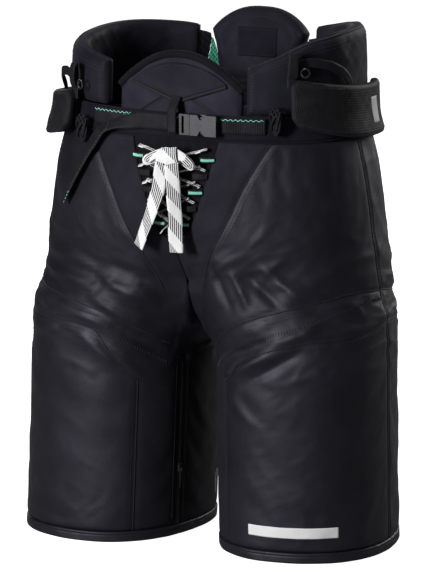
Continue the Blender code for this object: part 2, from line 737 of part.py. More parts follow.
def lace_tail(side, knots, look):
    tube(f"lace_tail_{side}", smooth_path(knots, 30), LACE_TUBE, look)


def leg_panel(name, side, sign, start, end, low, inset, outer, inner, look, shape):
    """A panel of the leg between two angles, up to the leg's top seam."""
    angle = np.linspace(start, end, shape[0])[:, None]
    v = np.linspace(0.0, 1.0, shape[1])[None, :]
    high = curve(LEG_TOP, angle) - inset
    z = low + (high - low) * v
    slab(name, leg_surface(side), angle + 0 * z, z, outer, inner, look, sign)


def leg(side, sign, looks):
    low = HEM_HEIGHT + GAP
    turn = 0.16  # degrees that make the seam's gap at the leg's radius
    leg_panel(f"thigh_panel_{side}", side, sign, GUARD_SEAM + turn, SIDE_SEAM - turn, low, GAP,
              0.0, -COVER, looks["nylon"], (15, 8))
    leg_panel(f"thigh_guard_{side}", side, sign, GUARD_SEAM + 5, SIDE_SEAM - 4, low + 0.004, 0.004,
              -COVER - 3 * GAP, -COVER - 3 * GAP - GUARD_THICKNESS, looks["foam"], (13, 5))
    leg_panel(f"back_panel_{side}", side, sign, SIDE_SEAM + turn, 235.0 - turn, low, GAP,
              0.0, -COVER, looks["nylon"], (17, 6))
    leg_panel(f"inner_front_{side}", side, sign, ZIP_ANGLE + ZIP_HALF + turn, GUARD_SEAM - turn,
              low, GAP, 0.0, -COVER, looks["nylon"], (5, 6))
    leg_panel(f"inner_back_{side}", side, sign, INNER_BACK + turn, ZIP_ANGLE - ZIP_HALF - turn,
              low, GAP, 0.0, -COVER, looks["nylon"], (8, 6))
    leg_panel(f"zip_tape_{side}", side, sign, ZIP_ANGLE - ZIP_HALF + turn,
              ZIP_ANGLE + ZIP_HALF - turn, low, GAP, -0.0010, -0.0030, looks["webbing"], (3, 5))
    hem(side, sign, looks["nylon"])
    flex_band(side, sign, looks["nylon"])
    zip_parts(side, sign, looks["steel"])


def hem(side, sign, look):
    """The folded hem band that the leg stands on."""
    angle = np.linspace(0.0, 360.0, 40, endpoint=False)[:, None]
    z = np.array([0.0, HEM_HEIGHT])[None, :]
    slab(f"hem_{side}", leg_surface(side), angle + 0 * z, z + 0 * angle, -HEM_TUCK,
         -HEM_TUCK - HEM_THICKNESS, look, sign, closed=True)


def flex_band(side, sign, look):
    around = np.linspace(0.0, 1.0, 48, endpoint=False)[:, None]
    v = np.linspace(0.006, 0.994, 4)[None, :]
    slab(f"flex_band_{side}", flex_surface(side), around + 0 * v, v + 0 * around, -GAP, -0.0028,
         look, sign, closed=True, steps=(0.004, 0.004), level=False)


def zip_frame(side, sign, z):
    """A point on the zip, its outward direction and the direction up the zip."""
    surface = leg_surface(side)
    angle, height = np.array([ZIP_ANGLE]), np.array([z])
    outward = normals(surface, angle, height, 0.2, 0.0005, sign)[0]
    up = (surface(angle, height + 0.05) - surface(angle, height))[0]
    return surface(angle, height)[0], outward, up / np.linalg.norm(up)


ZIP_REST_Z = 0.078


def placed_box(name, place, axes, low, high, look):
    """A box whose corners are given along three directions from a place."""
    frame = np.stack(axes)
    points = [place + np.asarray(corner) @ frame for corner in box_points(low, high)]
    return add_mesh(name, points, BOX_FACES, look, smooth=False)


def zip_parts(side, sign, look):
    """The slider on the zip, and the pull that hangs from it."""
    place, outward, up = zip_frame(side, sign, ZIP_REST_Z)
    along = np.cross(outward, up)
    axes = (along, outward, up)
    slider = placed_box(f"zip_slider_{side}", place, axes,
                        (-0.0030, 0.0004, 0.0), (0.0030, 0.0030, 0.0090), look)
    post = placed_box("post", place, axes, (-0.0008, 0.0026, 0.0015), (0.0008, 0.0052, 0.0035), look)
    combine(slider, post, "UNION")
    placed_box(f"zip_pull_{side}", place, axes,
               (-0.0024, 0.0034, -0.0200), (0.0024, 0.0048, 0.0010), look)


def build():
    clear_scene()
    nylon = material("nylon", NYLON, 0.55)
    navy = material("navy_knit", NAVY, 0.75)
    cover = material("pad_cover", NAVY, 0.60)
    webbing = material("webbing", BLACK, 0.70)
    foam = material("foam", FOAM, 0.90)
    plastic = material("guard_plastic", PLASTIC, 0.40)
    acetal = material("buckle_plastic", BLACK, 0.35)
    lace = material("lace", WHITE, 0.80)
    net = material("green_mesh", GREEN, 0.80)
    steel = material("nickel", STEEL, 0.30, 1.0)
    waistband(navy)
    fly_tongue(navy)
    front_pad(cover, nylon)
    back_pad(cover, plastic)
    keeper_loop(webbing)
    belt_strap("strap_right", -BELT_END_X, BUCKLE_RIGHT_END - 0.0006, webbing)
    belt_strap("strap_left", BUCKLE_LEFT_END + 0.0006, BELT_END_X, webbing)
    strap_tail(webbing)
    buckle_female(acetal)
    buckle_male(acetal)
    prong("prong_upper", 1.0, acetal)
    prong("prong_lower", -1.0, acetal)
    lace_rows(lace)
    lace_bow(lace)
    lace_tail("left", ((0.008, LACE_TAIL_Y - 0.004, 0.4640), (0.010, LACE_TAIL_Y - 0.003, 0.430),
                       (0.012, LACE_TAIL_Y - 0.002, 0.395), (0.012, LACE_TAIL_Y, 0.359)), lace)
    lace_tail("right", ((-0.003, LACE_TAIL_Y - 0.004, 0.4640), (-0.009, LACE_TAIL_Y - 0.004, 0.432),
                        (-0.022, LACE_TAIL_Y - 0.002, 0.396), (-0.037, LACE_TAIL_Y + 0.002, 0.362)), lace)
    looks = {"nylon": nylon, "foam": foam, "webbing": webbing, "steel": steel}
    for side, sign in SIDES:
        torso_panels(side, nylon, navy)
        hip_pad(side, cover, plastic)
        mesh_gusset(side, net)
        cuff(side, sign, webbing)
        cuff_loop(side, sign, webbing)
        cuff_ring(side, sign, steel)
        cuff_knot(side, sign, webbing)
        leg(side, sign, looks)


build()
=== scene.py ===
"""Looks of the ice hockey pants: sewn panels, padding, webbing, lacing and fittings.

Metres, +Z up. The garment's front faces -Y and the wearer's left is +X.
Angles run from the front (0) past the wearer's side (90) to the back (180).
The outlines and seam lines below are those of the CAD part.
"""

import math

import bpy
import numpy as np
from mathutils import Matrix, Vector
from mathutils.noise import noise as value_noise
from mathutils.bvhtree import BVHTree
from mathutils.kdtree import KDTree


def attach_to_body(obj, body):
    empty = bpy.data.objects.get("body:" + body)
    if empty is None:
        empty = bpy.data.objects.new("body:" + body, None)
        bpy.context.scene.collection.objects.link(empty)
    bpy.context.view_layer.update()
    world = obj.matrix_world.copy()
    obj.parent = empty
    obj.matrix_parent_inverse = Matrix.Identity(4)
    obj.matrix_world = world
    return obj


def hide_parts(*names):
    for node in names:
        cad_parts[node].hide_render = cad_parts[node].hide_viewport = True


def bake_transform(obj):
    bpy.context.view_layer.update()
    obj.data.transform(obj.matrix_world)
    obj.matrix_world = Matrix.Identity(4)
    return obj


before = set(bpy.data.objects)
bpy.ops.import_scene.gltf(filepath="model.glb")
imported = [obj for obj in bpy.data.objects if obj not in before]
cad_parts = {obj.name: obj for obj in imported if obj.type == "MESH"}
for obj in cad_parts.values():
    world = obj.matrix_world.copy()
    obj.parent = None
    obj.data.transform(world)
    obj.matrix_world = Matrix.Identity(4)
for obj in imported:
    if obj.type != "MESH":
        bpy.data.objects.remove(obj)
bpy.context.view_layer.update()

SIDES = (("left", 1.0), ("right", -1.0))

# ---------------------------------------------------------------- outlines

TORSO_POWER = 2.4
TORSO_WIDTH = ((0.27, 0.216), (0.312, 0.211), (0.37, 0.202), (0.43, 0.193),
               (0.47, 0.185), (0.52, 0.174), (0.62, 0.171))
TORSO_FRONT = ((0.27, 0.106), (0.335, 0.117), (0.39, 0.124), (0.44, 0.123),
               (0.49, 0.116), (0.54, 0.112), (0.62, 0.108))
TORSO_BACK = ((0.27, 0.124), (0.335, 0.138), (0.39, 0.147), (0.44, 0.144),
              (0.50, 0.137), (0.56, 0.139), (0.62, 0.144))
FRONT_GROOVE = ((0.27, 0.055), (0.312, 0.034), (0.35, 0.012), (0.39, 0.0), (0.62, 0.0))
BACK_GROOVE = ((0.27, 0.040), (0.312, 0.024), (0.37, 0.008), (0.42, 0.0), (0.62, 0.0))
GROOVE_HALF_WIDTH = 0.036

LEG_POWER = 2.25
LEG_CENTRE_X = 0.1123
LEG_OUTER = 0.1065
LEG_INNER = 0.0995
LEG_FRONT = 0.118
LEG_BACK = 0.122
TOE_OUT = 10.0
LEG_SPREAD = {"left": 0.0035, "right": 0.0105}
LEG_STRAIGHT_TOP = 0.26

TORSO_HEM = ((-5, 0.312), (20, 0.325), (50, 0.335), (75, 0.322), (90, 0.308), (120, 0.292), (185, 0.285))
LEG_TOP = ((-125, 0.226), (-90, 0.222), (-55, 0.218), (-31, 0.228), (0, 0.246), (30, 0.256), (60, 0.266),
           (90, 0.272), (130, 0.262), (180, 0.246), (235, 0.226))
CROTCH_Z = 0.262
WAIST_SEAM_Z = 0.4875
WAISTBAND_TOP_Z = 0.517

FLY_EDGE = ((0.30, 0.0), (0.355, 0.0), (0.385, 0.022), (0.43, 0.038), (0.478, 0.052), (0.52, 0.060))
V_SEAM = ((0.30, 0.024), (0.32, 0.030), (0.355, 0.045), (0.39, 0.065),
          (0.435, 0.086), (0.48, 0.110), (0.52, 0.136))
V_POINT_Z = 0.302  # where the V-shaped seam ends above the crotch
SIDE_SEAM = 88.0
GUARD_SEAM = -31.0
ZIP_ANGLE = -64.0
ZIP_HALF = 3.0
RING_START = -55.0  # leg angles where the soft ring's outside part starts and ends
RING_BACK = 235.0
RING_OUTSIDE = RING_BACK - RING_START
RING_INSIDE = 360.0 - RING_OUTSIDE
COVER = 0.004
HEM_HEIGHT = 0.0125
HEM_ROW_HEIGHT = 0.0088
HEM_GAP = 0.0004  # between the hem and the cloth above it

PAD_THICKNESS = 0.020
PAD_FRONT_X = {"left": 0.084, "right": 0.099}
PAD_BACK_X = 0.080
PAD_RIM = {
    "left": ((35, 0.566), (50, 0.580), (70, 0.601), (90, 0.606), (115, 0.605), (140, 0.594), (155, 0.584)),
    "right": ((35, 0.564), (50, 0.570), (70, 0.579), (90, 0.586), (115, 0.589), (140, 0.585), (155, 0.578)),
}
BACK_PAD_BOTTOM = 0.521
BACK_PAD_EDGE = ((0.52, 0.052), (0.56, 0.058), (0.585, 0.064), (0.61, 0.064))
BACK_PAD_TOP = 0.6065
BACK_PAD_DROP = 0.028
BACK_PAD_THICKNESS = 0.024
INNER_FACE = 0.024  # how far inside the torso's outline to look for the back pad's inner face

FRONT_PAD_HALF = 0.079
FRONT_PAD_BOTTOM = 0.491
FRONT_PAD_TOP = 0.584
FRONT_PAD_DROP = 0.040

BELT_Z = 0.506
BELT_HALF = 0.0095
LOOP_WIDTH = 0.011  # the narrower webbing of the loops
BELT_END_X = 0.106
BUCKLE_LEFT_END = 0.0560
BUCKLE_RIGHT_END = 0.0095

CUFF_ANGLES = (57.0, 118.0)
CUFF_INNER = {"left": 0.0045, "right": 0.0085}
CUFF_OUTER = {"left": 0.0155, "right": 0.0215}
CUFF_LOW = {
    "left": ((55, 0.508), (85, 0.487), (120, 0.480)),
    "right": ((55, 0.484), (85, 0.466), (120, 0.460)),
}
CUFF_HIGH = {
    "left": ((55, 0.563), (85, 0.549), (120, 0.541)),
    "right": ((55, 0.534), (85, 0.521), (120, 0.513)),
}
LACE_TAIL_Y = -0.1385

FLEX_OUTSIDE = 0.78  # share of the soft ring that runs round the outside of the leg
STEP_DEGREES, STEP_METRES = 0.2, 0.0005  # steps over which a surface's slope is measured


def curve(table, at):
    """A smooth line through the table's points that never overshoots them."""
    xs = np.array([row[0] for row in table], float)
    ys = np.array([row[1] for row in table], float)
    at = np.clip(np.asarray(at, float), xs[0], xs[-1])
    rates = np.diff(ys) / np.diff(xs)
    same_way = rates[:-1] * rates[1:] > 0
    total = np.where(same_way, rates[:-1] + rates[1:], 1.0)
    inside = np.where(same_way, 2.0 * rates[:-1] * rates[1:] / total, 0.0)
    slopes = np.concatenate([rates[:1], inside, rates[-1:]])
    i = np.clip(np.searchsorted(xs, at) - 1, 0, len(xs) - 2)
    step = xs[i + 1] - xs[i]
    s = (at - xs[i]) / step
    rise = ys[i] * (2 * s**3 - 3 * s**2 + 1) + ys[i + 1] * (3 * s**2 - 2 * s**3)
    bend = slopes[i] * (s**3 - 2 * s**2 + s) + slopes[i + 1] * (s**3 - s**2)
    return rise + step * bend


def torso(angle, z):
    """The torso's outer surface at signed angles about the garment's middle."""
    angle, z = np.broadcast_arrays(np.radians(np.asarray(angle, float)), np.asarray(z, float))
    across, along = np.sin(angle), np.cos(angle)
    depth = np.where(along >= 0, curve(TORSO_FRONT, z), curve(TORSO_BACK, z))
    sideways = np.abs(across / curve(TORSO_WIDTH, z)) ** TORSO_POWER
    radius = (sideways + np.abs(along / depth) ** TORSO_POWER) ** (-1.0 / TORSO_POWER)
    x = radius * across
    near_middle = np.exp(-((x / GROOVE_HALF_WIDTH) ** 2))
    groove = np.where(along >= 0, curve(FRONT_GROOVE, z), -curve(BACK_GROOVE, z))
    return np.stack([x, -radius * along + groove * near_middle, z], axis=-1)


def torso_angle(x, z, back=False):
    """The angle at which the torso's outline reaches x at height z."""
    x, z = np.broadcast_arrays(np.asarray(x, float), np.asarray(z, float))
    depth = curve(TORSO_BACK if back else TORSO_FRONT, z)
    rest = 1.0 - np.abs(x / curve(TORSO_WIDTH, z)) ** TORSO_POWER
    y = depth * np.clip(rest, 0.0, 1.0) ** (1.0 / TORSO_POWER)
    return np.degrees(np.arctan2(x, -y if back else y))


def torso_side(sign):
    """The torso's surface with angles counted towards one side."""
    return lambda angle, z: torso(sign * angle, z)


def leg_surface(side):
    """The leg's outer surface: angle 0 faces the front and 90 the outer side."""
    sign = 1.0 if side == "left" else -1.0

    def point(angle, z):
        angle, z = np.broadcast_arrays(np.asarray(angle, float), np.asarray(z, float))
        local = np.radians(angle - TOE_OUT)
        across, along = np.sin(local), np.cos(local)
        width = np.where(across >= 0, LEG_OUTER, LEG_INNER)
        depth = np.where(along >= 0, LEG_FRONT, LEG_BACK)
        total = np.abs(across / width) ** LEG_POWER + np.abs(along / depth) ** LEG_POWER
        radius = total ** (-1.0 / LEG_POWER)
        world = np.radians(angle)
        axis_x = LEG_CENTRE_X + LEG_SPREAD[side] * (1.0 - z / LEG_STRAIGHT_TOP)
        return np.stack([sign * (axis_x + radius * np.sin(world)), -radius * np.cos(world), z], axis=-1)

    return point


def flex_surface(side):
    """The soft zone that joins the torso's hem to the leg's top, as one ring."""
    sign = 1.0 if side == "left" else -1.0
    leg = leg_surface(side)

    def upper(s):
        t = np.clip(s / FLEX_OUTSIDE, 0.0, 1.0)
        torso_part = torso(180.0 * t, curve(TORSO_HEM, 180.0 * t)) * np.array([sign, 1.0, 1.0])
        k = np.clip((s - FLEX_OUTSIDE) / (1.0 - FLEX_OUTSIDE), 0.0, 1.0)
        back, front = torso(180.0, 0.285), torso(0.0, 0.312)
        y = back[1] + (front[1] - back[1]) * k
        straight = back[2] + (front[2] - back[2]) * k
        z = straight + (CROTCH_Z - straight) * np.sin(np.pi * k) ** 0.6
        crotch_part = np.stack([np.zeros_like(k), y, z], axis=-1)
        return np.where((s <= FLEX_OUTSIDE)[..., None], torso_part, crotch_part)

    def lower(s):
        t = np.clip(s / FLEX_OUTSIDE, 0.0, 1.0)
        k = np.clip((s - FLEX_OUTSIDE) / (1.0 - FLEX_OUTSIDE), 0.0, 1.0)
        inside = RING_BACK - 360.0 + RING_INSIDE * k
        angle = np.where(s <= FLEX_OUTSIDE, RING_START + RING_OUTSIDE * t, inside)
        return leg(angle, curve(LEG_TOP, angle))

    def point(s, v):
        s, v = np.broadcast_arrays(np.mod(np.asarray(s, float), 1.0), np.asarray(v, float))
        low, high = lower(s), upper(s)
        ease = v * v * (3.0 - 2.0 * v)
        flat = low + (high - low) * ease[..., None]
        flat[..., 2] = low[..., 2] + (high[..., 2] - low[..., 2]) * v
        return flat

    return point


def normals(surface, a, b, sign):
    """Outward directions, kept level so that seams keep their height."""
    along_a = surface(a + STEP_DEGREES, b) - surface(a - STEP_DEGREES, b)
    along_b = surface(a, b + STEP_METRES) - surface(a, b - STEP_METRES)
    found = np.cross(along_a, along_b) * sign
    found[..., 2] = 0.0
    return found / np.linalg.norm(found, axis=-1, keepdims=True)


def on_surface(surface, a, b, sign=1.0):
    """A surface's points and its outward directions there."""
    return surface(a, b), normals(surface, a, b, sign)


def on_torso(x, z, back=False):
    """The torso's points and outward directions at x and height z."""
    return on_surface(torso, torso_angle(x, z, back), z)


def patch(low_a, high_a, low_b, high_b, rows, columns):
    """A grid whose a-edges depend on b, and whose b-edges depend on a."""
    u, v = share_grid(rows, columns)
    b = np.full((rows, columns), 0.5 * float(low_b(0.0) + high_b(0.0)))
    a = b
    for _ in range(6):
        a = low_a(b) + (high_a(b) - low_a(b)) * u
        b = low_b(a) + (high_b(a) - low_b(a)) * v
    return a, b


def constant(value):
    return lambda other: np.zeros_like(np.asarray(other, float)) + value


def smooth(x):
    """Eases from 0 to 1 as x goes from 0 to 1."""
    x = np.clip(x, 0.0, 1.0)
    return x * x * (3.0 - 2.0 * x)


def quarter_round(distance, radius):
    """0 at an edge and 1 from one radius inwards, rising along a quarter circle."""
    return np.sqrt(np.clip(1.0 - (1.0 - np.clip(distance / radius, 0, 1)) ** 2, 0, 1))


def share_grid(rows, columns, start=0.0):
    """A column of shares from start to 1 and a row of shares from 0 to 1."""
    return np.linspace(start, 1.0, rows)[:, None], np.linspace(0.0, 1.0, columns)[None, :]


# ---------------------------------------------------------------- materials


DARK_CLOTH_TINT = (0.88, 0.85, 1.0)
NYLON_DARK = (0.0047, 0.0043, 0.0068)
NYLON_LIGHT = (0.0106, 0.0097, 0.0148)
# Matte inner-leg cloth, painted darker as the shade of the leg's recess behind the thigh guard.
SHADED_MATTE_DARK = (0.0032, 0.0031, 0.0044)
SHADED_MATTE_LIGHT = (0.0080, 0.0076, 0.0108)
NYLON_PITCH = 0.0011  # metres from thread to thread
KNIT_PITCH = 0.0016
RIB_PITCH = 0.0021  # metres from rib to rib of the webbing
SEAM_BLUR = 0.0004  # half the width over which one cloth turns into another
KNIT_DARK = (0.0042, 0.0040, 0.0070)
KNIT_LIGHT = (0.0105, 0.0101, 0.0160)


class Look:
    """A node material under construction, with short ways to add nodes."""

    def __init__(self, name, roughness=0.6, metallic=0.0, sheen=0.0, coat=0.0, specular=0.5,
                 tint=(1.0, 1.0, 1.0)):
        self.material = bpy.data.materials.new(name)
        self.material.use_nodes = True
        self.nodes = self.material.node_tree.nodes
        self.links = self.material.node_tree.links
        self.shader = self.nodes["Principled BSDF"]
        self.shader.inputs["Roughness"].default_value = roughness
        self.shader.inputs["Metallic"].default_value = metallic
        self.shader.inputs["Sheen Weight"].default_value = sheen
        self.shader.inputs["Coat Weight"].default_value = coat
        self.shader.inputs["Specular IOR Level"].default_value = specular
        self.shader.inputs["Specular Tint"].default_value = (*tint, 1.0)

    def add(self, kind, inputs=None, **settings):
        node = self.nodes.new(kind)
        for key, value in settings.items():
            setattr(node, key, value)
        for key, value in (inputs or {}).items():
            if isinstance(value, bpy.types.NodeSocket):
                self.links.new(value, node.inputs[key])
            else:
                node.inputs[key].default_value = value
        return node

    def place(self, scale=(1.0, 1.0, 1.0), turn=(0.0, 0.0, 0.0), grain=False):
        """Coordinates in metres: the row frame's, or the cloth's own grain."""
        if grain:
            source = self.attribute("grain", "Vector")
        else:
            source = self.add("ShaderNodeTexCoord").outputs["Object"]
        return self.add("ShaderNodeMapping", {"Vector": source, "Scale": scale, "Rotation": turn}).outputs[0]

    def noise(self, scale, detail=3.0, where=None):
        where = where or self.place()
        inputs = {"Vector": where, "Scale": scale, "Detail": detail}
        return self.add("ShaderNodeTexNoise", inputs).outputs["Fac"]

    def wave(self, per_metre, axis="X", where=None):
        """Even bands, per_metre of them in a metre; the node's own scale counts 10 for a half turn."""
        inputs = {"Vector": where or self.place(), "Scale": per_metre * math.pi / 10.0}
        return self.add("ShaderNodeTexWave", inputs, bands_direction=axis).outputs["Fac"]

    def math(self, operation, first, second=0.0, third=0.0):
        return self.add("ShaderNodeMath", {0: first, 1: second, 2: third}, operation=operation).outputs[0]

    def span(self, value, low, high, to_low=0.0, to_high=1.0):
        return self.add("ShaderNodeMapRange", {"Value": value, "From Min": low, "From Max": high,
                                               "To Min": to_low, "To Max": to_high}).outputs[0]

    def mix(self, share, first, second):
        """A colour between two others; the node has its sockets three times, one set per data type."""
        node = self.add("ShaderNodeMix", data_type="RGBA")
        sockets = {s.identifier: s for s in (*node.inputs, *node.outputs)}
        for key, value in (("Factor_Float", share), ("A_Color", first), ("B_Color", second)):
            if isinstance(value, bpy.types.NodeSocket):
                self.links.new(value, sockets[key])
            else:
                sockets[key].default_value = value if key == "Factor_Float" else (*value, 1.0)
        return sockets["Result_Color"]

    def attribute(self, name, output="Fac"):
        return self.add("ShaderNodeAttribute", attribute_name=name).outputs[output]

    def colour(self, socket):
        self.links.new(socket, self.shader.inputs["Base Color"])

    def roughness(self, socket):
        self.links.new(socket, self.shader.inputs["Roughness"])

    def bump(self, height, distance, strength=1.0):
        """Adds a bump on top of the bumps already there."""
        node = self.add("ShaderNodeBump", {"Height": height, "Distance": distance, "Strength": strength})
        before = self.shader.inputs["Normal"].links
        if before:
            self.links.new(before[0].from_socket, node.inputs["Normal"])
        self.links.new(node.outputs[0], self.shader.inputs["Normal"])


def threads_of(look, where):
    """Crossing threads of the nylon's plain weave."""
    warp, weft = (look.wave(1.0 / NYLON_PITCH, axis, where) for axis in "XY")
    return look.math("MAXIMUM", warp, weft)


def nylon_look(name, dark, light, roughness=0.50):
    """Tight shiny nylon: fine weave, soft cloudy shade changes and slight creasing."""
    look = Look(name, sheen=0.0, specular=0.36, tint=DARK_CLOTH_TINT)
    cloud = look.noise(14.0, 4.0)
    threads = threads_of(look, look.place(grain=True))
    look.bump(threads, 0.00006)
    shade = look.math("MULTIPLY_ADD", threads, 0.18, look.span(cloud, 0.35, 0.65, 0.0, 0.82))
    look.colour(look.mix(shade, dark, light))
    look.roughness(look.span(look.noise(60.0, 3.0), 0.3, 0.7, roughness - 0.05, roughness + 0.07))
    look.bump(look.noise(85.0, 4.0), 0.0006, 0.5)
    return look.material


def knit_look(name, dark, light):
    """Matte knit with ribs and a soft nap."""
    look = Look(name, roughness=0.86, sheen=0.02, specular=0.10, tint=DARK_CLOTH_TINT)
    where = look.place(grain=True)
    ribs = look.wave(1.0 / KNIT_PITCH, "X", where)
    rows = look.wave(1.4 / KNIT_PITCH, "Y", where)
    loops = look.math("MULTIPLY", ribs, rows)
    look.bump(loops, 0.00012)
    cloud = look.span(look.noise(22.0, 4.0), 0.3, 0.7, 0.0, 0.75)
    look.colour(look.mix(look.math("MULTIPLY_ADD", loops, 0.25, cloud), dark, light))
    look.bump(look.noise(400.0, 3.0), 0.0002, 0.6)
    return look.material


def jersey_look(name, dark, light):
    """Smooth brushed jersey over foam."""
    look = Look(name, sheen=0.02, specular=0.12, tint=DARK_CLOTH_TINT)
    look.shader.inputs["Sheen Roughness"].default_value = 0.5
    fine = look.noise(900.0, 3.0)
    cloud = look.span(look.noise(18.0, 4.0), 0.3, 0.7, 0.0, 0.8)
    look.colour(look.mix(look.math("MULTIPLY_ADD", fine, 0.2, cloud), dark, light))
    look.roughness(look.span(look.noise(40.0), 0.3, 0.7, 0.62, 0.78))
    look.bump(fine, 0.00015, 0.7)
    look.bump(look.noise(45.0, 3.0), 0.0008, 0.35)
    return look.material


def garment_look(name):
    """Tight nylon that turns to ribbed stretch knit inside the V-shaped front seam, and to matte cloth on
    the inner leg that is painted darker there as shade of its recess.
    """
    look = Look(name, sheen=0.0, specular=0.29, tint=DARK_CLOTH_TINT)
    is_nylon = look.span(look.attribute("beside_v"), -SEAM_BLUR, SEAM_BLUR)
    where = look.place(grain=True)
    threads = threads_of(look, where)
    loops = look.math("MULTIPLY", look.wave(1.0 / 0.0018, "X", where), look.wave(1.0 / 0.0012, "Y", where))
    cloud = look.span(look.noise(14.0, 4.0), 0.35, 0.65, 0.0, 0.8)
    nylon_colour = look.mix(look.math("MULTIPLY_ADD", threads, 0.18, cloud), NYLON_DARK, NYLON_LIGHT)
    knit_colour = look.mix(look.math("MULTIPLY_ADD", loops, 0.25, cloud), KNIT_DARK, KNIT_LIGHT)
    # The inner leg is rougher, matte cloth, and its darker colour is painted shade of the recess behind the
    # thigh guard.
    is_shaded_matte = look.span(look.attribute("inner_leg_shade"), -SEAM_BLUR, SEAM_BLUR)
    shaded_matte_colour = look.mix(look.math("MULTIPLY_ADD", loops, 0.25, cloud), SHADED_MATTE_DARK, SHADED_MATTE_LIGHT)
    look.colour(look.mix(is_shaded_matte, look.mix(is_nylon, knit_colour, nylon_colour), shaded_matte_colour))
    is_knit = look.math("SUBTRACT", 1.0, is_nylon)
    smooth_part = look.span(look.noise(60.0, 3.0), 0.3, 0.7, 0.46, 0.58)
    rough_part = look.math("MAXIMUM", is_knit, is_shaded_matte)
    look.roughness(look.math("MULTIPLY_ADD", rough_part, 0.32, smooth_part))
    look.bump(look.math("MULTIPLY", threads, is_nylon), 0.00006)
    look.bump(look.math("MULTIPLY", loops, is_knit), 0.00014)
    look.bump(look.noise(85.0, 4.0), 0.0006, 0.5)
    return look.material


def webbing_look(name, dark, light):
    """Flat webbing: ribs across its width and a herringbone of threads."""
    look = Look(name, roughness=0.62, sheen=0.01, specular=0.16)
    where = look.place(grain=True)
    ribs = look.wave(1.0 / RIB_PITCH, "X", where)
    threads = look.wave(1.0 / 0.0009, "DIAGONAL", where)
    look.bump(ribs, 0.00022)
    look.bump(threads, 0.00008)
    wear = look.span(look.noise(120.0, 4.0), 0.35, 0.7, 0.0, 0.5)
    look.colour(look.mix(look.math("MULTIPLY_ADD", ribs, 0.5, wear), dark, light))
    return look.material


def plastic_look(name, dark, light, roughness=0.36):
    """Moulded acetal with a fine spark texture and light scuffs."""
    look = Look(name, specular=0.5)
    scuffs = look.noise(160.0, 6.0)
    look.colour(look.mix(look.span(scuffs, 0.45, 0.75, 0.0, 0.7), dark, light))
    look.roughness(look.span(look.noise(90.0, 4.0), 0.3, 0.7, roughness - 0.06, roughness + 0.10))
    look.bump(look.noise(1500.0, 2.0), 0.00004, 0.8)
    return look.material


def lace_look(name, plain):
    """White flat braid with blocks of thin slanting black lines."""
    look = Look(name, roughness=0.80, sheen=0.05, specular=0.2)
    where = look.place(grain=True)
    split = look.add("ShaderNodeSeparateXYZ", {"Vector": where})
    along, across = split.outputs["X"], split.outputs["Y"]
    lines = look.math("LESS_THAN", look.math("FRACT", look.math("DIVIDE", across, 0.0023)), 0.52)
    leaning = look.math("MULTIPLY_ADD", across, -1.25, along)
    block = look.math("GREATER_THAN", look.math("FRACT", look.math("DIVIDE", leaning, 0.0370)), plain)
    ink = look.math("MULTIPLY", lines, block)
    braid = look.wave(1.0 / 0.0012, "DIAGONAL", where)
    fluff = look.span(look.noise(300.0, 3.0), 0.3, 0.7, 0.0, 0.35)
    white = look.mix(fluff, (0.74, 0.74, 0.74), (0.56, 0.56, 0.58))
    look.colour(look.mix(ink, white, (0.018, 0.018, 0.022)))
    look.bump(braid, 0.00015)
    return look.material


def thread_look(name, dark, light):
    """Twisted sewing thread."""
    look = Look(name, roughness=0.65, sheen=0.05, specular=0.2)
    twist = look.wave(1.0 / 0.0007, "DIAGONAL")
    look.colour(look.mix(twist, dark, light))
    look.bump(twist, 0.00006)
    return look.material


def net_look(name):
    """Emerald net with a lighter crossing thread."""
    look = Look(name, roughness=0.7, sheen=0.2)
    first, second = (look.wave(1.0 / 0.0034, "X", look.place(turn=(0.0, math.radians(lean), 0.0)))
                     for lean in (38.0, -38.0))
    lines = look.span(look.math("MAXIMUM", first, second), 0.80, 0.95)
    look.colour(look.mix(lines, (0.004, 0.10, 0.060), (0.03, 0.46, 0.28)))
    look.bump(lines, 0.0005)
    look.bump(look.noise(500.0), 0.0002, 0.6)
    return look.material


def metal_look(name):
    look = Look(name, metallic=1.0)
    scratches = look.noise(700.0, 6.0, look.place(scale=(1.0, 1.0, 0.08)))
    look.colour(look.mix(scratches, (0.10, 0.10, 0.105), (0.22, 0.22, 0.23)))
    look.roughness(look.span(scratches, 0.3, 0.7, 0.24, 0.42))
    look.bump(scratches, 0.00005, 0.6)
    return look.material


def foam_look(name):
    look = Look(name, roughness=0.92, specular=0.25)
    cells = look.add("ShaderNodeTexVoronoi", {"Vector": look.place(), "Scale": 900.0}).outputs["Distance"]
    look.colour(look.mix(look.math("MULTIPLY_ADD", cells, 0.6, look.noise(20.0)),
                         (0.020, 0.020, 0.024), (0.055, 0.055, 0.062)))
    look.bump(cells, 0.0002)
    return look.material


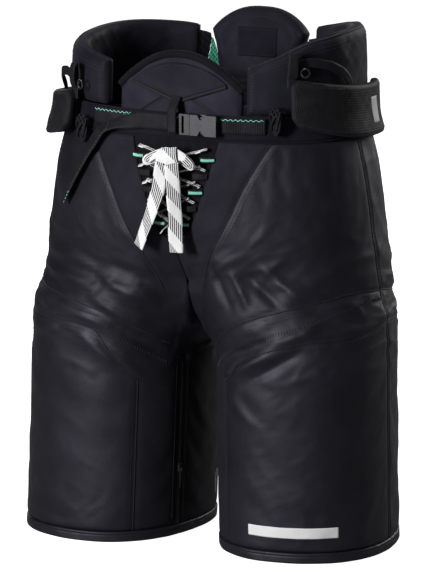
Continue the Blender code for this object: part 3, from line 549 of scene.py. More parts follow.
LOOKS = {
    "garment": garment_look("garment_cloth"),
    "seam": thread_look("seam_cord", (0.004, 0.004, 0.005), (0.010, 0.010, 0.013)),
    "nylon": nylon_look("nylon_cloth", NYLON_DARK, NYLON_LIGHT),
    "nylon_inside": nylon_look("nylon_inside", (0.005, 0.005, 0.0065), (0.010, 0.010, 0.0125), 0.62),
    "knit": knit_look("stretch_knit", KNIT_DARK, KNIT_LIGHT),
    "seam_knit": knit_look("binding_knit", (0.0035, 0.0034, 0.0050), (0.0085, 0.0083, 0.0115)),
    "jersey": jersey_look("pad_jersey", (0.0055, 0.0052, 0.0090), (0.0135, 0.0130, 0.0200)),
    "wing": jersey_look("wing_jersey", (0.0095, 0.0090, 0.0150), (0.0200, 0.0190, 0.0300)),
    "grey_thread": thread_look("grey_thread", (0.05, 0.05, 0.055), (0.13, 0.13, 0.135)),
    "webbing": webbing_look("ribbed_webbing", (0.0036, 0.0034, 0.0045), (0.0118, 0.0112, 0.0146)),
    "plastic": plastic_look("buckle_acetal", (0.007, 0.007, 0.0085), (0.016, 0.016, 0.020)),
    "housing": plastic_look("buckle_housing", (0.009, 0.009, 0.015), (0.020, 0.020, 0.030), 0.42),
    "lace": lace_look("striped_lace", 0.47),
    "lace_dark": lace_look("striped_lace_rows", 0.16),
    "thread": thread_look("dark_thread", (0.007, 0.007, 0.010), (0.021, 0.020, 0.028)),
    "mint": thread_look("mint_thread", (0.16, 0.52, 0.42), (0.36, 0.80, 0.68)),
    "mark": thread_look("white_print", (0.60, 0.60, 0.60), (0.74, 0.74, 0.74)),
    "net": net_look("emerald_net"),
    "metal": metal_look("satin_nickel"),
    "foam": foam_look("guard_foam"),
}

# ---------------------------------------------------------------- mesh work


def grid_lengths(points):
    """How far each grid point is from the grid's first row and first column."""
    along_a = np.linalg.norm(np.diff(points, axis=0), axis=-1)
    along_b = np.linalg.norm(np.diff(points, axis=1), axis=-1)
    first = np.concatenate([np.zeros((1, points.shape[1])), np.cumsum(along_a, axis=0)])
    second = np.concatenate([np.zeros((points.shape[0], 1)), np.cumsum(along_b, axis=1)], axis=1)
    return first, second


def edge_distance(points, closed):
    """Distance from each grid point to the nearest edge of the grid, in metres."""
    first, second = grid_lengths(points)
    near = np.minimum(second, second[:, -1:] - second)
    if not closed:
        near = np.minimum(near, np.minimum(first, first[-1:, :] - first))
    return near


def grid_quads(rows, columns, start, closed):
    i = np.arange(rows if closed else rows - 1)[:, None]
    j = np.arange(columns - 1)[None, :]
    here, there = start + i * columns + j, start + ((i + 1) % rows) * columns + j
    return np.stack([here, there, there + 1, here + 1], axis=-1).reshape(-1, 4)


def make_mesh(name, points, faces, look, grain=None, flat=False):
    """A mesh object, with its cloth grain in metres kept on its points."""
    mesh = bpy.data.meshes.new(name)
    mesh.from_pydata(np.asarray(points, float).tolist(), [], [tuple(map(int, f)) for f in faces])
    mesh.polygons.foreach_set("use_smooth", np.full(len(mesh.polygons), not flat))
    if grain is not None:
        layer = mesh.attributes.new("grain", "FLOAT_VECTOR", "POINT")
        layer.data.foreach_set("vector", np.asarray(grain, np.float32).ravel())
    mesh.update()
    volume = signed_volume(np.asarray(points, float), faces)
    if volume < 0:
        mesh.flip_normals()
    made = bpy.data.objects.new(name, mesh)
    bpy.context.scene.collection.objects.link(made)
    made.data.materials.append(LOOKS[look])
    return made


def signed_volume(points, faces):
    total = 0.0
    quads = np.array([f for f in faces if len(f) == 4], int)
    if len(quads):
        p, q, r, s = (points[quads[:, k]] for k in range(4))
        total += (p * np.cross(q, r)).sum() + (p * np.cross(r, s)).sum()
    for face in faces:
        if len(face) != 4:
            corners = points[list(face)]
            for k in range(1, len(corners) - 1):
                total += corners[0] @ np.cross(corners[k], corners[k + 1])
    return total


def wall_quads(rows, columns, offset, closed):
    """The faces that join the edges of two grids, the second numbered offset later."""
    edges = []
    for i in range(rows if closed else rows - 1):
        j = (i + 1) % rows
        edges.append((j * columns, i * columns))
        edges.append((i * columns + columns - 1, j * columns + columns - 1))
    if not closed:
        for j in range(columns - 1):
            edges.append((j, j + 1))
            last = (rows - 1) * columns
            edges.append((last + j + 1, last + j))
    return [(a, b, b + offset, a + offset) for a, b in edges]


def close_grids(name, outer, inner, look, closed=False):
    """A closed solid between two grids of points."""
    rows, columns = outer.shape[:2]
    offset = rows * columns
    top = grid_quads(rows, columns, 0, closed)
    bottom = grid_quads(rows, columns, offset, closed)[:, ::-1]
    walls = wall_quads(rows, columns, offset, closed)
    faces = [tuple(f) for f in top] + [tuple(f) for f in bottom] + walls
    first, second = grid_lengths(outer)
    grain = np.stack([first, second, np.zeros_like(first)], axis=-1).reshape(-1, 3)
    points = np.concatenate([outer.reshape(-1, 3), inner.reshape(-1, 3)])
    return make_mesh(name, points, faces, look, np.concatenate([grain, grain]))


def undulation(points, amount, wavelength):
    """Low, even unevenness of hand-sewn cloth, from a few crossing waves."""
    k = 2.0 * math.pi / wavelength
    x, y, z = points[..., 0], points[..., 1], points[..., 2]
    total = np.sin(k * (x + 0.37 * z) + 1.3) * np.sin(k * (0.81 * z - 0.29 * y) + 0.4)
    total += 0.6 * np.sin(1.73 * k * (y - 0.41 * z) + 2.1) * np.sin(1.57 * k * (z + 0.33 * x) + 0.9)
    total += 0.35 * np.sin(2.9 * k * (z + 0.6 * x) + 0.2) * np.sin(2.7 * k * (y + 0.5 * x) + 1.7)
    return amount * total


FOLD_DEPTH = 1.55  # scales the heights in the tables of creases


def fold(points, start, end, width, height, front):
    """A soft ridge, or a valley if height is negative, along a line seen from the front or back.

    start and end are (x, z).
    """
    flat = points[..., [0, 2]]
    start, end = np.array(start), np.array(end)
    way = end - start
    share = np.clip(((flat - start) @ way) / (way @ way), 0.0, 1.0)
    gap = np.linalg.norm(flat - (start + share[..., None] * way), axis=-1)
    taper = np.sin(np.pi * np.clip(share * 0.86 + 0.07, 0.0, 1.0)) ** 0.5
    y = points[..., 1] if front else -points[..., 1]
    facing = smooth((-y - 0.015) / 0.05)
    sharp = 0.5 * np.exp(-((gap / width) ** 2)) + 0.5 * np.exp(-np.abs(gap) / (0.62 * width))
    return FOLD_DEPTH * height * taper * sharp * facing


# Creases seen from the front: start and end as (x, z), half width, height; all in metres.
FRONT_FOLDS = (
    # the wearer's right thigh, above and below its cross seam
    ((-0.196, 0.318), (-0.120, 0.309), 0.0070, 0.0036),
    ((-0.190, 0.301), (-0.105, 0.297), 0.0060, -0.0030),
    ((-0.176, 0.338), (-0.118, 0.330), 0.0080, 0.0028),
    ((-0.112, 0.300), (-0.036, 0.244), 0.0070, 0.0046),
    ((-0.098, 0.277), (-0.040, 0.232), 0.0055, -0.0036),
    ((-0.150, 0.276), (-0.085, 0.262), 0.0060, 0.0030),
    ((-0.090, 0.312), (-0.032, 0.292), 0.0070, 0.0030),
    ((-0.080, 0.332), (-0.020, 0.305), 0.0060, -0.0026),
    ((-0.120, 0.246), (-0.060, 0.206), 0.0075, 0.0026),
    ((-0.200, 0.246), (-0.150, 0.252), 0.0080, 0.0022),
    # the wearer's left thigh
    ((0.060, 0.212), (0.166, 0.276), 0.0090, 0.0052),
    ((0.058, 0.232), (0.120, 0.258), 0.0055, -0.0040),
    ((0.085, 0.205), (0.160, 0.252), 0.0070, -0.0028),
    ((0.106, 0.345), (0.150, 0.305), 0.0075, 0.0040),
    ((0.088, 0.332), (0.128, 0.300), 0.0060, -0.0034),
    ((0.070, 0.335), (0.090, 0.300), 0.0060, 0.0034),
    ((0.040, 0.345), (0.066, 0.296), 0.0065, -0.0030),
    ((0.140, 0.318), (0.196, 0.300), 0.0080, 0.0034),
    ((0.150, 0.300), (0.205, 0.283), 0.0060, -0.0028),
    ((0.176, 0.262), (0.208, 0.268), 0.0080, 0.0024),
    ((0.060, 0.190), (0.100, 0.160), 0.0080, 0.0018),
)

# Creases seen from behind: below the seat, where the garment folds as its wearer sits.
BACK_FOLDS = (
    ((-0.180, 0.292), (-0.040, 0.276), 0.0090, 0.0046),
    ((-0.170, 0.270), (-0.060, 0.262), 0.0065, -0.0036),
    ((0.040, 0.278), (0.185, 0.296), 0.0090, 0.0046),
    ((0.060, 0.262), (0.172, 0.272), 0.0065, -0.0036),
    ((-0.150, 0.318), (-0.070, 0.302), 0.0080, 0.0030),
    ((0.060, 0.300), (0.155, 0.322), 0.0080, 0.0030),
    ((-0.120, 0.236), (-0.160, 0.205), 0.0080, 0.0026),
    ((0.118, 0.240), (0.162, 0.208), 0.0080, 0.0026),
)


def crinkle(points):
    """Short sharp creases of tight nylon, mostly where the leg bends, running down towards the crotch."""
    x, y, z = points[:, 0], points[:, 1], points[:, 2]
    along = np.stack([0.6 * x, 0.6 * y, 1.9 * (z - 0.5 * np.abs(x))], axis=1)
    near_hip = smooth((z - 0.185) / 0.06) * smooth((0.42 - z) / 0.09)
    total = np.zeros(len(points))
    for scale, height in ((14.0, 0.0026), (31.0, 0.0012)):
        wave = np.array([value_noise(Vector(p)) for p in along * scale])
        total += height * (np.exp(-np.abs(wave) / 0.13) - 0.35)
    return total * (0.10 + 0.90 * near_hip)


def creases(points):
    """How far each point of the nylon rises or sinks in its creases, before any cloth simulation."""
    total = undulation(points, 0.0006, 0.110) + crinkle(points)
    for folds, front in ((FRONT_FOLDS, True), (BACK_FOLDS, False)):
        for start, end, width, height in folds:
            total = total + fold(points, start, end, width, height, front)
    return total


def attach(obj, body=None, leg=None, replaced=()):
    """Ties a finished piece to its body, or, for a piece of one leg, bakes its placement into its points."""
    if replaced:
        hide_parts(*replaced)
    if leg:
        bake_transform(obj)
    else:
        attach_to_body(obj, body)
    return obj


def surface_of(*objects):
    """A search tree over the outsides of finished pieces."""
    points, faces, start = [], [], 0
    for obj in objects:
        points += [obj.matrix_world @ v.co for v in obj.data.vertices]
        faces += [[start + i for i in f.vertices] for f in obj.data.polygons]
        start = len(points)
    return BVHTree.FromPolygons(points, faces)


def snapped(tree, guides, outward):
    """The surface points and normals nearest to guide points, seen from outside."""
    places, facing = [], []
    for guide, way in zip(guides, outward):
        source = Vector(guide) + Vector(way) * 0.03
        hit, normal, _, _ = tree.ray_cast(source, -Vector(way), 0.06)
        if hit is None:
            hit, normal, _, _ = tree.find_nearest(Vector(guide))
        if normal.dot(Vector(way)) < 0:
            normal = -normal
        places.append(hit[:])
        facing.append(normal[:])
    return np.array(places), np.array(facing)


def snapped_grid(tree, guides, outward):
    """The same for a grid of guide points."""
    places, facing = snapped(tree, guides.reshape(-1, 3), outward.reshape(-1, 3))
    return places.reshape(guides.shape), facing.reshape(guides.shape)


def resample(points, step):
    """Evenly spaced points on a line, about one step apart."""
    at = distance_along(points)
    count = max(2, int(round(at[-1] / step)) + 1)
    return spread(points, np.linspace(0.0, at[-1], count), at)


def unit(vectors):
    """The same directions, one metre long."""
    return vectors / np.maximum(np.linalg.norm(vectors, axis=-1, keepdims=True), 1e-12)


def direction(line, closed=False):
    """The way a line runs at each of its points."""
    if closed:
        return unit(np.roll(line, -1, axis=0) - np.roll(line, 1, axis=0))
    return unit(np.gradient(line, axis=0))


def distance_along(line):
    """How far along a line each of its points is."""
    return np.concatenate([[0.0], np.cumsum(np.linalg.norm(np.diff(line, axis=0), axis=1))])


def spread(values, want, known):
    """Rows of vectors known at some places, read off at others."""
    return np.stack([np.interp(want, known, values[:, k]) for k in range(3)], axis=1)


STITCH_SIDES = 6


def stitches(name, line, facing, look, length=0.0030, pitch=0.0042, radius=0.00034, turn=0.0):
    """A row of separate stitches sunk half into the cloth; turn=90 makes rungs across the row."""
    places = resample(line, pitch)
    share, known = np.linspace(0.0, 1.0, len(places)), np.linspace(0.0, 1.0, len(facing))
    up = unit(spread(facing, share, known))
    ahead = direction(places)
    side = unit(np.cross(up, ahead))
    way = math.cos(math.radians(turn)) * ahead + math.sin(math.radians(turn)) * side
    across = unit(np.cross(up, way))
    stations = ((-0.5, 0.25), (-0.40, 0.85), (0.0, 1.0), (0.40, 0.85), (0.5, 0.25))
    points, faces, grain = [], [], []
    for p, w, c, u in zip(places, way, across, up):
        start = len(points)
        for share, fat in stations:
            for k in range(STITCH_SIDES):
                t = 2.0 * math.pi * k / STITCH_SIDES
                points.append(p + w * (share * length) + (c * math.cos(t) + u * math.sin(t)) * radius * fat
                              + u * radius * 0.35)
                grain.append((share * length, 0.0, 0.0))
        for ring in range(len(stations) - 1):
            for k in range(STITCH_SIDES):
                m = (k + 1) % STITCH_SIDES
                here = start + ring * STITCH_SIDES
                faces.append((here + k, here + m, here + STITCH_SIDES + m, here + STITCH_SIDES + k))
        faces.append(tuple(start + k for k in range(STITCH_SIDES))[::-1])
        last = start + (len(stations) - 1) * STITCH_SIDES
        faces.append(tuple(last + k for k in range(STITCH_SIDES)))
    return make_mesh(name, points, faces, look, grain)


def sewn(name, tree, guides, outward, look="thread", **shape):
    """A row of stitches on a finished piece, nearest to guide points."""
    places, facing = snapped(tree, guides, outward)
    return stitches(name, places, facing, look, **shape)


def cord_mesh(name, line, radius, look, sides=10, closed=False, squeeze=None, up=None):
    """A round or flattened tube along a line; squeeze is its thickness as a share of its width."""
    line = np.asarray(line, float)
    ahead = direction(line, closed)
    up = np.broadcast_to(np.asarray(up if up is not None else (0.0, 0.0, 1.0), float), line.shape)
    side = unit(np.cross(up, ahead))
    rise = unit(np.cross(ahead, side))
    t = 2.0 * math.pi * np.arange(sides) / sides
    flatness = 1.0 if squeeze is None else squeeze
    rings = (line[:, None, :] + side[:, None, :] * (radius * np.cos(t))[None, :, None]
             + rise[:, None, :] * (radius * flatness * np.sin(t))[None, :, None])
    count = len(line)
    faces = []
    for i in range(count if closed else count - 1):
        j = (i + 1) % count
        for k in range(sides):
            m = (k + 1) % sides
            faces.append((i * sides + k, i * sides + m, j * sides + m, j * sides + k))
    if not closed:
        faces.append(tuple(range(sides))[::-1])
        faces.append(tuple((count - 1) * sides + k for k in range(sides)))
    grain = np.stack([np.repeat(distance_along(line), sides), np.tile(radius * np.cos(t), count),
                      np.zeros(count * sides)], axis=1)
    return make_mesh(name, rings.reshape(-1, 3), faces, look, grain)


def ribbon(name, line, facing, width, thickness, look, ribs=0.0, closed=False):
    """Flat webbing along a line, with its face towards the given directions and rounded edges."""
    line, facing = np.asarray(line, float), np.asarray(facing, float)
    ahead = direction(line, closed)
    facing = unit(facing - (facing * ahead).sum(-1, keepdims=True) * ahead)
    side = unit(np.cross(facing, ahead))
    wave = 1.0 + ribs * np.cos(2.0 * math.pi * distance_along(line) / RIB_PITCH)
    u = np.linspace(-1.0, 1.0, 9)
    bulge = np.sqrt(np.clip(1.0 - np.abs(u) ** 6, 0.0, 1.0))
    half = 0.5 * thickness * (0.25 + 0.75 * bulge)
    top = line[:, None, :] + side[:, None, :] * (0.5 * width * u)[None, :, None]
    lift = facing[:, None, :] * (half[None, :] * wave[:, None])[..., None]
    outer, inner = top + lift, top - lift
    return close_grids(name, outer, inner, look, closed)


def smooth_path(knots, count):
    """Evenly spread points on a smooth line through a few places."""
    knots = np.asarray(knots, float)
    at = distance_along(knots)
    want = np.linspace(0.0, at[-1], count)
    return np.stack([curve(list(zip(at, knots[:, k])), want) for k in range(knots.shape[1])], axis=1)


# ---------------------------------------------------------------- camera, light and floor

VIEW_AZIMUTH = 24.6
VIEW_ELEVATION = 11.5
VIEW_DISTANCE = 6.0
VIEW_CENTRE = Vector((0.0, 0.0, 0.30))
VIEW_ASIDE = 0.0028
VIEW_DOWN = 0.0064
LENS_MM = 322.0


def camera():
    a, e = math.radians(VIEW_AZIMUTH), math.radians(VIEW_ELEVATION)
    ahead = Vector((-math.sin(a) * math.cos(e), math.cos(a) * math.cos(e), -math.sin(e)))
    right = Vector((math.cos(a), math.sin(a), 0.0))
    up = right.cross(ahead)
    data = bpy.data.cameras.new("camera")
    data.lens = LENS_MM
    data.sensor_width = 36.0
    data.clip_end = 60.0
    made = bpy.data.objects.new("camera", data)
    made.location = VIEW_CENTRE - right * VIEW_ASIDE - up * VIEW_DOWN - ahead * VIEW_DISTANCE
    made.rotation_euler = ahead.to_track_quat("-Z", "Y").to_euler()
    bpy.context.scene.collection.objects.link(made)
    bpy.context.scene.camera = made


ROOM_LIGHT = 0.03  # how much the room itself lights the garment
ROOM_SEEN = 1.0
FLOOR_GLOW = 1.00  # what the lit studio floor adds for the eye
LIGHT_TARGET = Vector((0.0, 0.0, 0.30))
LIGHTS = (  # name, place, size, watts
    ("key", (-0.80, -2.58, 1.05), (0.45, 0.9), 90.0),
    ("top", (-0.1, -0.3, 2.6), (1.4, 1.4), 14.0),
    ("side", (2.5, 1.2, 0.9), (0.7, 1.4), 6.0),
    ("back_left", (-1.8, 2.1, 1.2), (0.8, 1.4), 11.0),
    ("back", (0.9, 2.6, 1.4), (1.2, 1.2), 38.0),
)


def area_light(name, place, size, power):
    data = bpy.data.lights.new(name, "AREA")
    data.shape = "RECTANGLE"
    data.size, data.size_y = size
    data.energy = power
    made = bpy.data.objects.new(name, data)
    made.location = place
    made.rotation_euler = (LIGHT_TARGET - Vector(place)).to_track_quat("-Z", "Y").to_euler()
    bpy.context.scene.collection.objects.link(made)


def studio():
    world = bpy.data.worlds.new("studio")
    world.use_nodes = True
    nodes, links = world.node_tree.nodes, world.node_tree.links
    seen = nodes.new("ShaderNodeLightPath").outputs["Is Camera Ray"]
    level = nodes.new("ShaderNodeMapRange")
    level.inputs["To Min"].default_value = ROOM_LIGHT
    level.inputs["To Max"].default_value = ROOM_SEEN
    links.new(seen, level.inputs["Value"])
    nodes["Background"].inputs["Color"].default_value = (1.0, 1.0, 1.0, 1.0)
    links.new(level.outputs[0], nodes["Background"].inputs["Strength"])
    bpy.context.scene.world = world
    for light in LIGHTS:
        area_light(*light)
    bpy.context.scene.view_settings.view_transform = "Standard"


def floor():
    look = Look("pale_floor", roughness=0.9, specular=0.1)
    seen = look.add("ShaderNodeLightPath").outputs["Is Camera Ray"]
    pale = look.mix(look.noise(3.0), (0.90, 0.90, 0.90), (0.92, 0.92, 0.92))
    look.colour(look.mix(seen, (0.30, 0.30, 0.30), pale))
    look.shader.inputs["Emission Color"].default_value = (1.0, 1.0, 1.0, 1.0)
    look.links.new(look.math("MULTIPLY", seen, FLOOR_GLOW), look.shader.inputs["Emission Strength"])
    LOOKS["floor"] = look.material
    ring = [(12.0 * math.cos(t), 12.0 * math.sin(t), -0.0008) for t in
            np.linspace(0.0, 2.0 * math.pi, 64, endpoint=False)]
    made = make_mesh("floor", ring, [tuple(range(64))], "floor", flat=True)


# ---------------------------------------------------------------- cords


def strap_tail():
    """The belt's free end: back along the belt, then down over the hip."""
    over = [torso(torso_angle(x, z), z) for x, z in
            ((0.0035, 0.506), (-0.030, 0.5065), (-0.065, 0.5035), (-0.092, 0.493))]
    lift = np.array([0.0, -0.0072, 0.0])
    knots = [p + lift for p in over]
    knots += [torso(-47.0, 0.470) + lift, torso(-53.0, 0.437) + lift, torso(-59.0, 0.402) + lift]
    line = smooth_path(knots, 240)
    angle = np.degrees(np.arctan2(line[:, 0], -line[:, 1]))
    facing = normals(torso, angle, line[:, 2], 1.0)
    along = np.linspace(0.0, 1.0, len(line))[:, None]
    lean = np.array([0.25, 0.0, 1.25]) * smooth((along - 0.20) / 0.26)
    made = ribbon("strap_tail_webbing", line, facing + lean, 2 * BELT_HALF, 0.0015, "webbing", 0.16)
    attach(made, "pants", replaced=["strap_tail"])
    turned = unit(facing + lean)
    ahead = direction(line)
    edge = unit(np.cross(turned, ahead))
    edge = edge * np.where(edge[:, 2:] + 0.8 * (along > 0.3) * -edge[:, 1:2] < 0.0, -1.0, 1.0)
    face = unit(np.cross(ahead, edge))
    face = face * np.where((face * turned).sum(axis=1, keepdims=True) < 0.0, -1.0, 1.0)
    track = line + edge * (BELT_HALF - 0.0022) + face * 0.0009
    for name, part, look in (("row", slice(70, -22), "grey_thread"), ("tip", slice(-20, -2), "mint")):
        row = stitches(f"strap_tail_{name}", track[part], face[part], look, length=0.0028, pitch=0.0046,
                       radius=0.0003)
        attach(row, "pants")


TAIL_WIDTH = 0.017


def lace_tails():
    """The two ends of the lace, hanging flat from the bow."""
    tails = {
        "left": ((0.008, LACE_TAIL_Y - 0.004, 0.4640), (0.010, LACE_TAIL_Y - 0.003, 0.430),
                 (0.012, LACE_TAIL_Y - 0.002, 0.395), (0.012, LACE_TAIL_Y, 0.359)),
        "right": ((-0.003, LACE_TAIL_Y - 0.004, 0.4640), (-0.009, LACE_TAIL_Y - 0.004, 0.432),
                  (-0.022, LACE_TAIL_Y - 0.002, 0.396), (-0.037, LACE_TAIL_Y + 0.002, 0.362)),
    }
    for side, knots in tails.items():
        line = smooth_path(knots, 60)
        turn = np.linspace(0.0, 1.0, len(line))[:, None]
        twist = 0.55 * np.sin(2.6 * turn + (0.4 if side == "left" else 2.2))
        facing = np.array([0.0, -1.0, 0.0]) + twist * np.array([1.0, 0.0, 0.0])
        made = ribbon(f"lace_tail_{side}_braid", line, facing, TAIL_WIDTH, 0.0018, "lace")
        attach(made, "pants", replaced=[f"lace_tail_{side}"])


# ---------------------------------------------------------------- the garment's skin

SIDE_SEAM_SHARE = 0.489  # the side seam's place between the front (0) and back (1) middles
GUARD_TOP = {  # height of the thigh guard's top seam against the leg angle
    "left": ((-31, 0.2065), (-25, 0.2105), (-18, 0.2280), (0, 0.2460), (22, 0.2590), (60, 0.2660),
             (90, 0.2720)),
    "right": ((-31, 0.1950), (-27, 0.1990), (-14, 0.2290), (-3, 0.2560), (12, 0.2610), (36, 0.2620),
              (90, 0.2720)),
}
CROSS_SEAM = {
    "left": ((0.0, 0.16), (0.12, 0.36), (0.32, 0.58), (0.42, 0.80), (0.49, 0.97)),
    "right": ((0.0, 0.16), (0.13, 0.34), (0.32, 0.44), (0.42, 0.50), (0.49, 0.56)),
}
SKIN_STEP = 0.0039
LEG_COLUMNS, SOFT_COLUMNS, TORSO_COLUMNS = 66, 20, 52
METRES_PER_DEGREE = 0.0018  # along the leg's outline
FAR_ASIDE = 0.1  # stands for a point well away from a cloth's edge
LINING = 0.0030  # the skin's thickness


def segment(low, high, metres):
    """Even places from low up to high, about SKIN_STEP apart over a length in metres."""
    return np.linspace(low, high, max(2, int(round(metres / SKIN_STEP))), endpoint=False)


def leg_share(angle):
    """The place on the soft ring above a leg angle, counted up from RING_START."""
    angle = np.asarray(angle, float)
    outer = FLEX_OUTSIDE * (angle - RING_START) / RING_OUTSIDE
    inner = FLEX_OUTSIDE + (1.0 - FLEX_OUTSIDE) * (angle - RING_BACK) / RING_INSIDE
    return np.where(angle <= RING_BACK, outer, inner)


def share_angle(s):
    s = np.asarray(s, float)
    outer = RING_START + RING_OUTSIDE * s / FLEX_OUTSIDE
    inner = RING_BACK + RING_INSIDE * (s - FLEX_OUTSIDE) / (1.0 - FLEX_OUTSIDE)
    return np.where(s <= FLEX_OUTSIDE, outer, inner)


def skin_grids(side, sign):
    """Two joined grids, the leg and soft zone as a ring and the torso above its outside.

    With them come the rows inside the zip, and how far each point lies within the matte inner leg, whose
    cloth is painted darker as shade of its recess behind the thigh guard.
    """
    leg, soft, body = leg_surface(side), flex_surface(side), torso_side(sign)
    zip_low = float(leg_share(360.0 + ZIP_ANGLE - ZIP_HALF))
    zip_high = float(leg_share(360.0 + ZIP_ANGLE + ZIP_HALF))
    stations = (0.0, FLEX_OUTSIDE, zip_low, zip_high, 1.0)
    lengths = (0.58, 0.110, 0.012, 0.012)
    ring = np.concatenate([segment(stations[k], stations[k + 1], lengths[k]) for k in range(4)])
    angle = share_angle(ring)[:, None]
    low = HEM_HEIGHT + HEM_GAP
    up = np.linspace(0.0, 1.0, LEG_COLUMNS, endpoint=False)[None, :]
    top = curve(LEG_TOP, np.where(angle > RING_BACK, angle - 360.0, angle))
    leg_points = leg(angle + 0 * up, low + (top - low) * up)
    v = np.linspace(0.0, 1.0, SOFT_COLUMNS)[None, :]
    lower = np.concatenate([leg_points, soft(ring[:, None] + 0 * v, v + 0 * ring[:, None])], axis=1)
    outside = ring[ring <= FLEX_OUTSIDE + 1e-9]
    share = np.append(outside, FLEX_OUTSIDE)[:len(outside) + 1] / FLEX_OUTSIDE
    share = np.unique(np.clip(share, 0.0, 1.0))[:, None]
    rise = np.linspace(0.0, 1.0, TORSO_COLUMNS)[None, :]
    a = 180.0 * share + 0 * rise
    for _ in range(6):
        z = curve(TORSO_HEM, a) + (WAIST_SEAM_Z - curve(TORSO_HEM, a)) * rise
        fly = torso_angle(np.maximum(curve(FLY_EDGE, z), 0.0), z)
        a = fly + (180.0 - fly) * share
    upper = body(a, z)
    in_zip = (ring >= zip_low - 1e-9) & (ring < zip_high - 1e-9)
    inner = np.full(lower.shape[:2], -FAR_ASIDE)
    # How far within the inner leg each point lies: there the cloth is painted darker, as shade of its
    # recess.
    beside = METRES_PER_DEGREE * np.maximum(GUARD_SEAM - angle, angle - RING_BACK)
    inner[:, :LEG_COLUMNS] = np.minimum(beside, top - leg_points[..., 2])
    return lower, upper, in_zip, inner


def skin_mesh(side, sign):
    """Points, faces and cloth grain of one side's skin, as one sheet."""
    lower, upper, in_zip, inner = skin_grids(side, sign)
    rows, columns = lower.shape[:2]
    index = np.arange(rows * columns).reshape(rows, columns)
    faces = []
    for i in range(rows):
        j = (i + 1) % rows
        for k in range(columns - 1):
            if in_zip[i] and k < LEG_COLUMNS:
                continue
            faces.append((index[i, k], index[j, k], index[j, k + 1], index[i, k + 1]))
    wide, tall = upper.shape[:2]
    start = rows * columns
    above = np.empty((wide, tall), int)
    above[:, 0] = index[:wide, -1]
    above[:, 1:] = start + np.arange(wide * (tall - 1)).reshape(wide, tall - 1)
    for i in range(wide - 1):
        for k in range(tall - 1):
            faces.append((above[i, k], above[i + 1, k], above[i + 1, k + 1], above[i, k + 1]))
    points = np.concatenate([lower.reshape(-1, 3), upper[:, 1:].reshape(-1, 3)])
    first, second = grid_lengths(lower)
    over, rise = grid_lengths(upper)
    rise = rise + second[:wide, -1:]
    grain = np.concatenate([np.stack([first, second], -1).reshape(-1, 2),
                            np.stack([over, rise], -1)[:, 1:].reshape(-1, 2)])
    used = np.zeros(len(points), bool)
    faces = np.array(faces)
    used[faces.ravel()] = True
    renumber = np.cumsum(used) - 1
    # How far each point lies within the inner leg, where the matte cloth is painted darker as shade.
    matte_shade = np.full(len(points), -FAR_ASIDE)
    matte_shade[:rows * columns] = inner.ravel()
    return points[used], renumber[faces], np.column_stack([grain, np.zeros(len(grain))])[used], matte_shade[used]


def point_normals(points, faces):
    """The mean outward direction of the four-cornered faces around each point."""
    corners = points[faces]
    flat = np.cross(corners[:, 2] - corners[:, 0], corners[:, 3] - corners[:, 1])
    total = np.zeros_like(points)
    for k in range(4):
        np.add.at(total, faces[:, k], flat)
    return unit(total)


def boundary_edges(faces):
    """Directed edges that only one face uses."""
    edges = np.concatenate([faces[:, [k, (k + 1) % 4]] for k in range(4)])
    size = int(faces.max()) + 1
    code = edges[:, 0] * size + edges[:, 1]
    back = edges[:, 1] * size + edges[:, 0]
    return edges[~np.isin(code, back)]


def distance_to(points, targets):
    """How far each point is from the nearest target."""
    tree = KDTree(len(targets))
    for k, target in enumerate(targets):
        tree.insert(target, k)
    tree.balance()
    return np.array([tree.find(p)[2] for p in points])


def seam_lines(side, sign):
    """The sewn lines of one side, as guide points on the plain outline."""
    leg, soft, body = leg_surface(side), flex_surface(side), torso_side(sign)
    z = np.linspace(V_POINT_Z, WAIST_SEAM_Z, 90)
    lines = {"v": body(torso_angle(curve(V_SEAM, z), z), z)}
    z = np.linspace(0.308, WAIST_SEAM_Z, 80)
    v = np.linspace(0.0, 1.0, 30)
    zone = soft(np.full(30, SIDE_SEAM_SHARE * FLEX_OUTSIDE), v)
    leg_angle = float(share_angle(SIDE_SEAM_SHARE * FLEX_OUTSIDE))
    down = leg(np.full(100, leg_angle), np.linspace(HEM_HEIGHT, float(curve(LEG_TOP, leg_angle)), 100))
    lines["side"] = np.concatenate([down, zone[1:], body(np.full(80, SIDE_SEAM), z)[1:]])
    share = np.linspace(0.0, SIDE_SEAM_SHARE, 120)
    lines["cross"] = soft(share * FLEX_OUTSIDE, curve(CROSS_SEAM[side], share))
    angle = np.linspace(GUARD_SEAM, leg_angle, 140)
    lines["guard_top"] = leg(angle, curve(GUARD_TOP[side], angle))
    angle = np.linspace(leg_angle, RING_BACK, 140)
    lines["back_top"] = leg(angle, curve(LEG_TOP, angle))
    angle = np.linspace(SIDE_SEAM, 180.0, 140)
    lines["seat"] = body(angle, curve(TORSO_HEM, angle))
    corner = float(curve(GUARD_TOP[side], GUARD_SEAM))
    lines["guard"] = leg(np.full(110, GUARD_SEAM), np.linspace(HEM_HEIGHT, corner, 110))
    corner = float(curve(LEG_TOP, RING_BACK))
    lines["inner_back"] = leg(np.full(110, RING_BACK), np.linspace(HEM_HEIGHT, corner, 110))
    return lines


def cut_size(points, side, sign):
    """The cloth's own size: a little longer than its place, most of all in the soft zone."""
    axis_x = sign * (LEG_CENTRE_X + LEG_SPREAD[side] * 0.5)
    cut = points.copy()
    z = points[:, 2]
    spare = 0.020 * z + 0.011 * smooth((z - 0.225) / 0.11) + 0.016 * np.maximum(z - 0.33, 0.0)
    cut[:, 2] = z + spare
    cut[:, 0] = axis_x + (points[:, 0] - axis_x) * 1.016
    cut[:, 1] = points[:, 1] * 1.016
    return cut


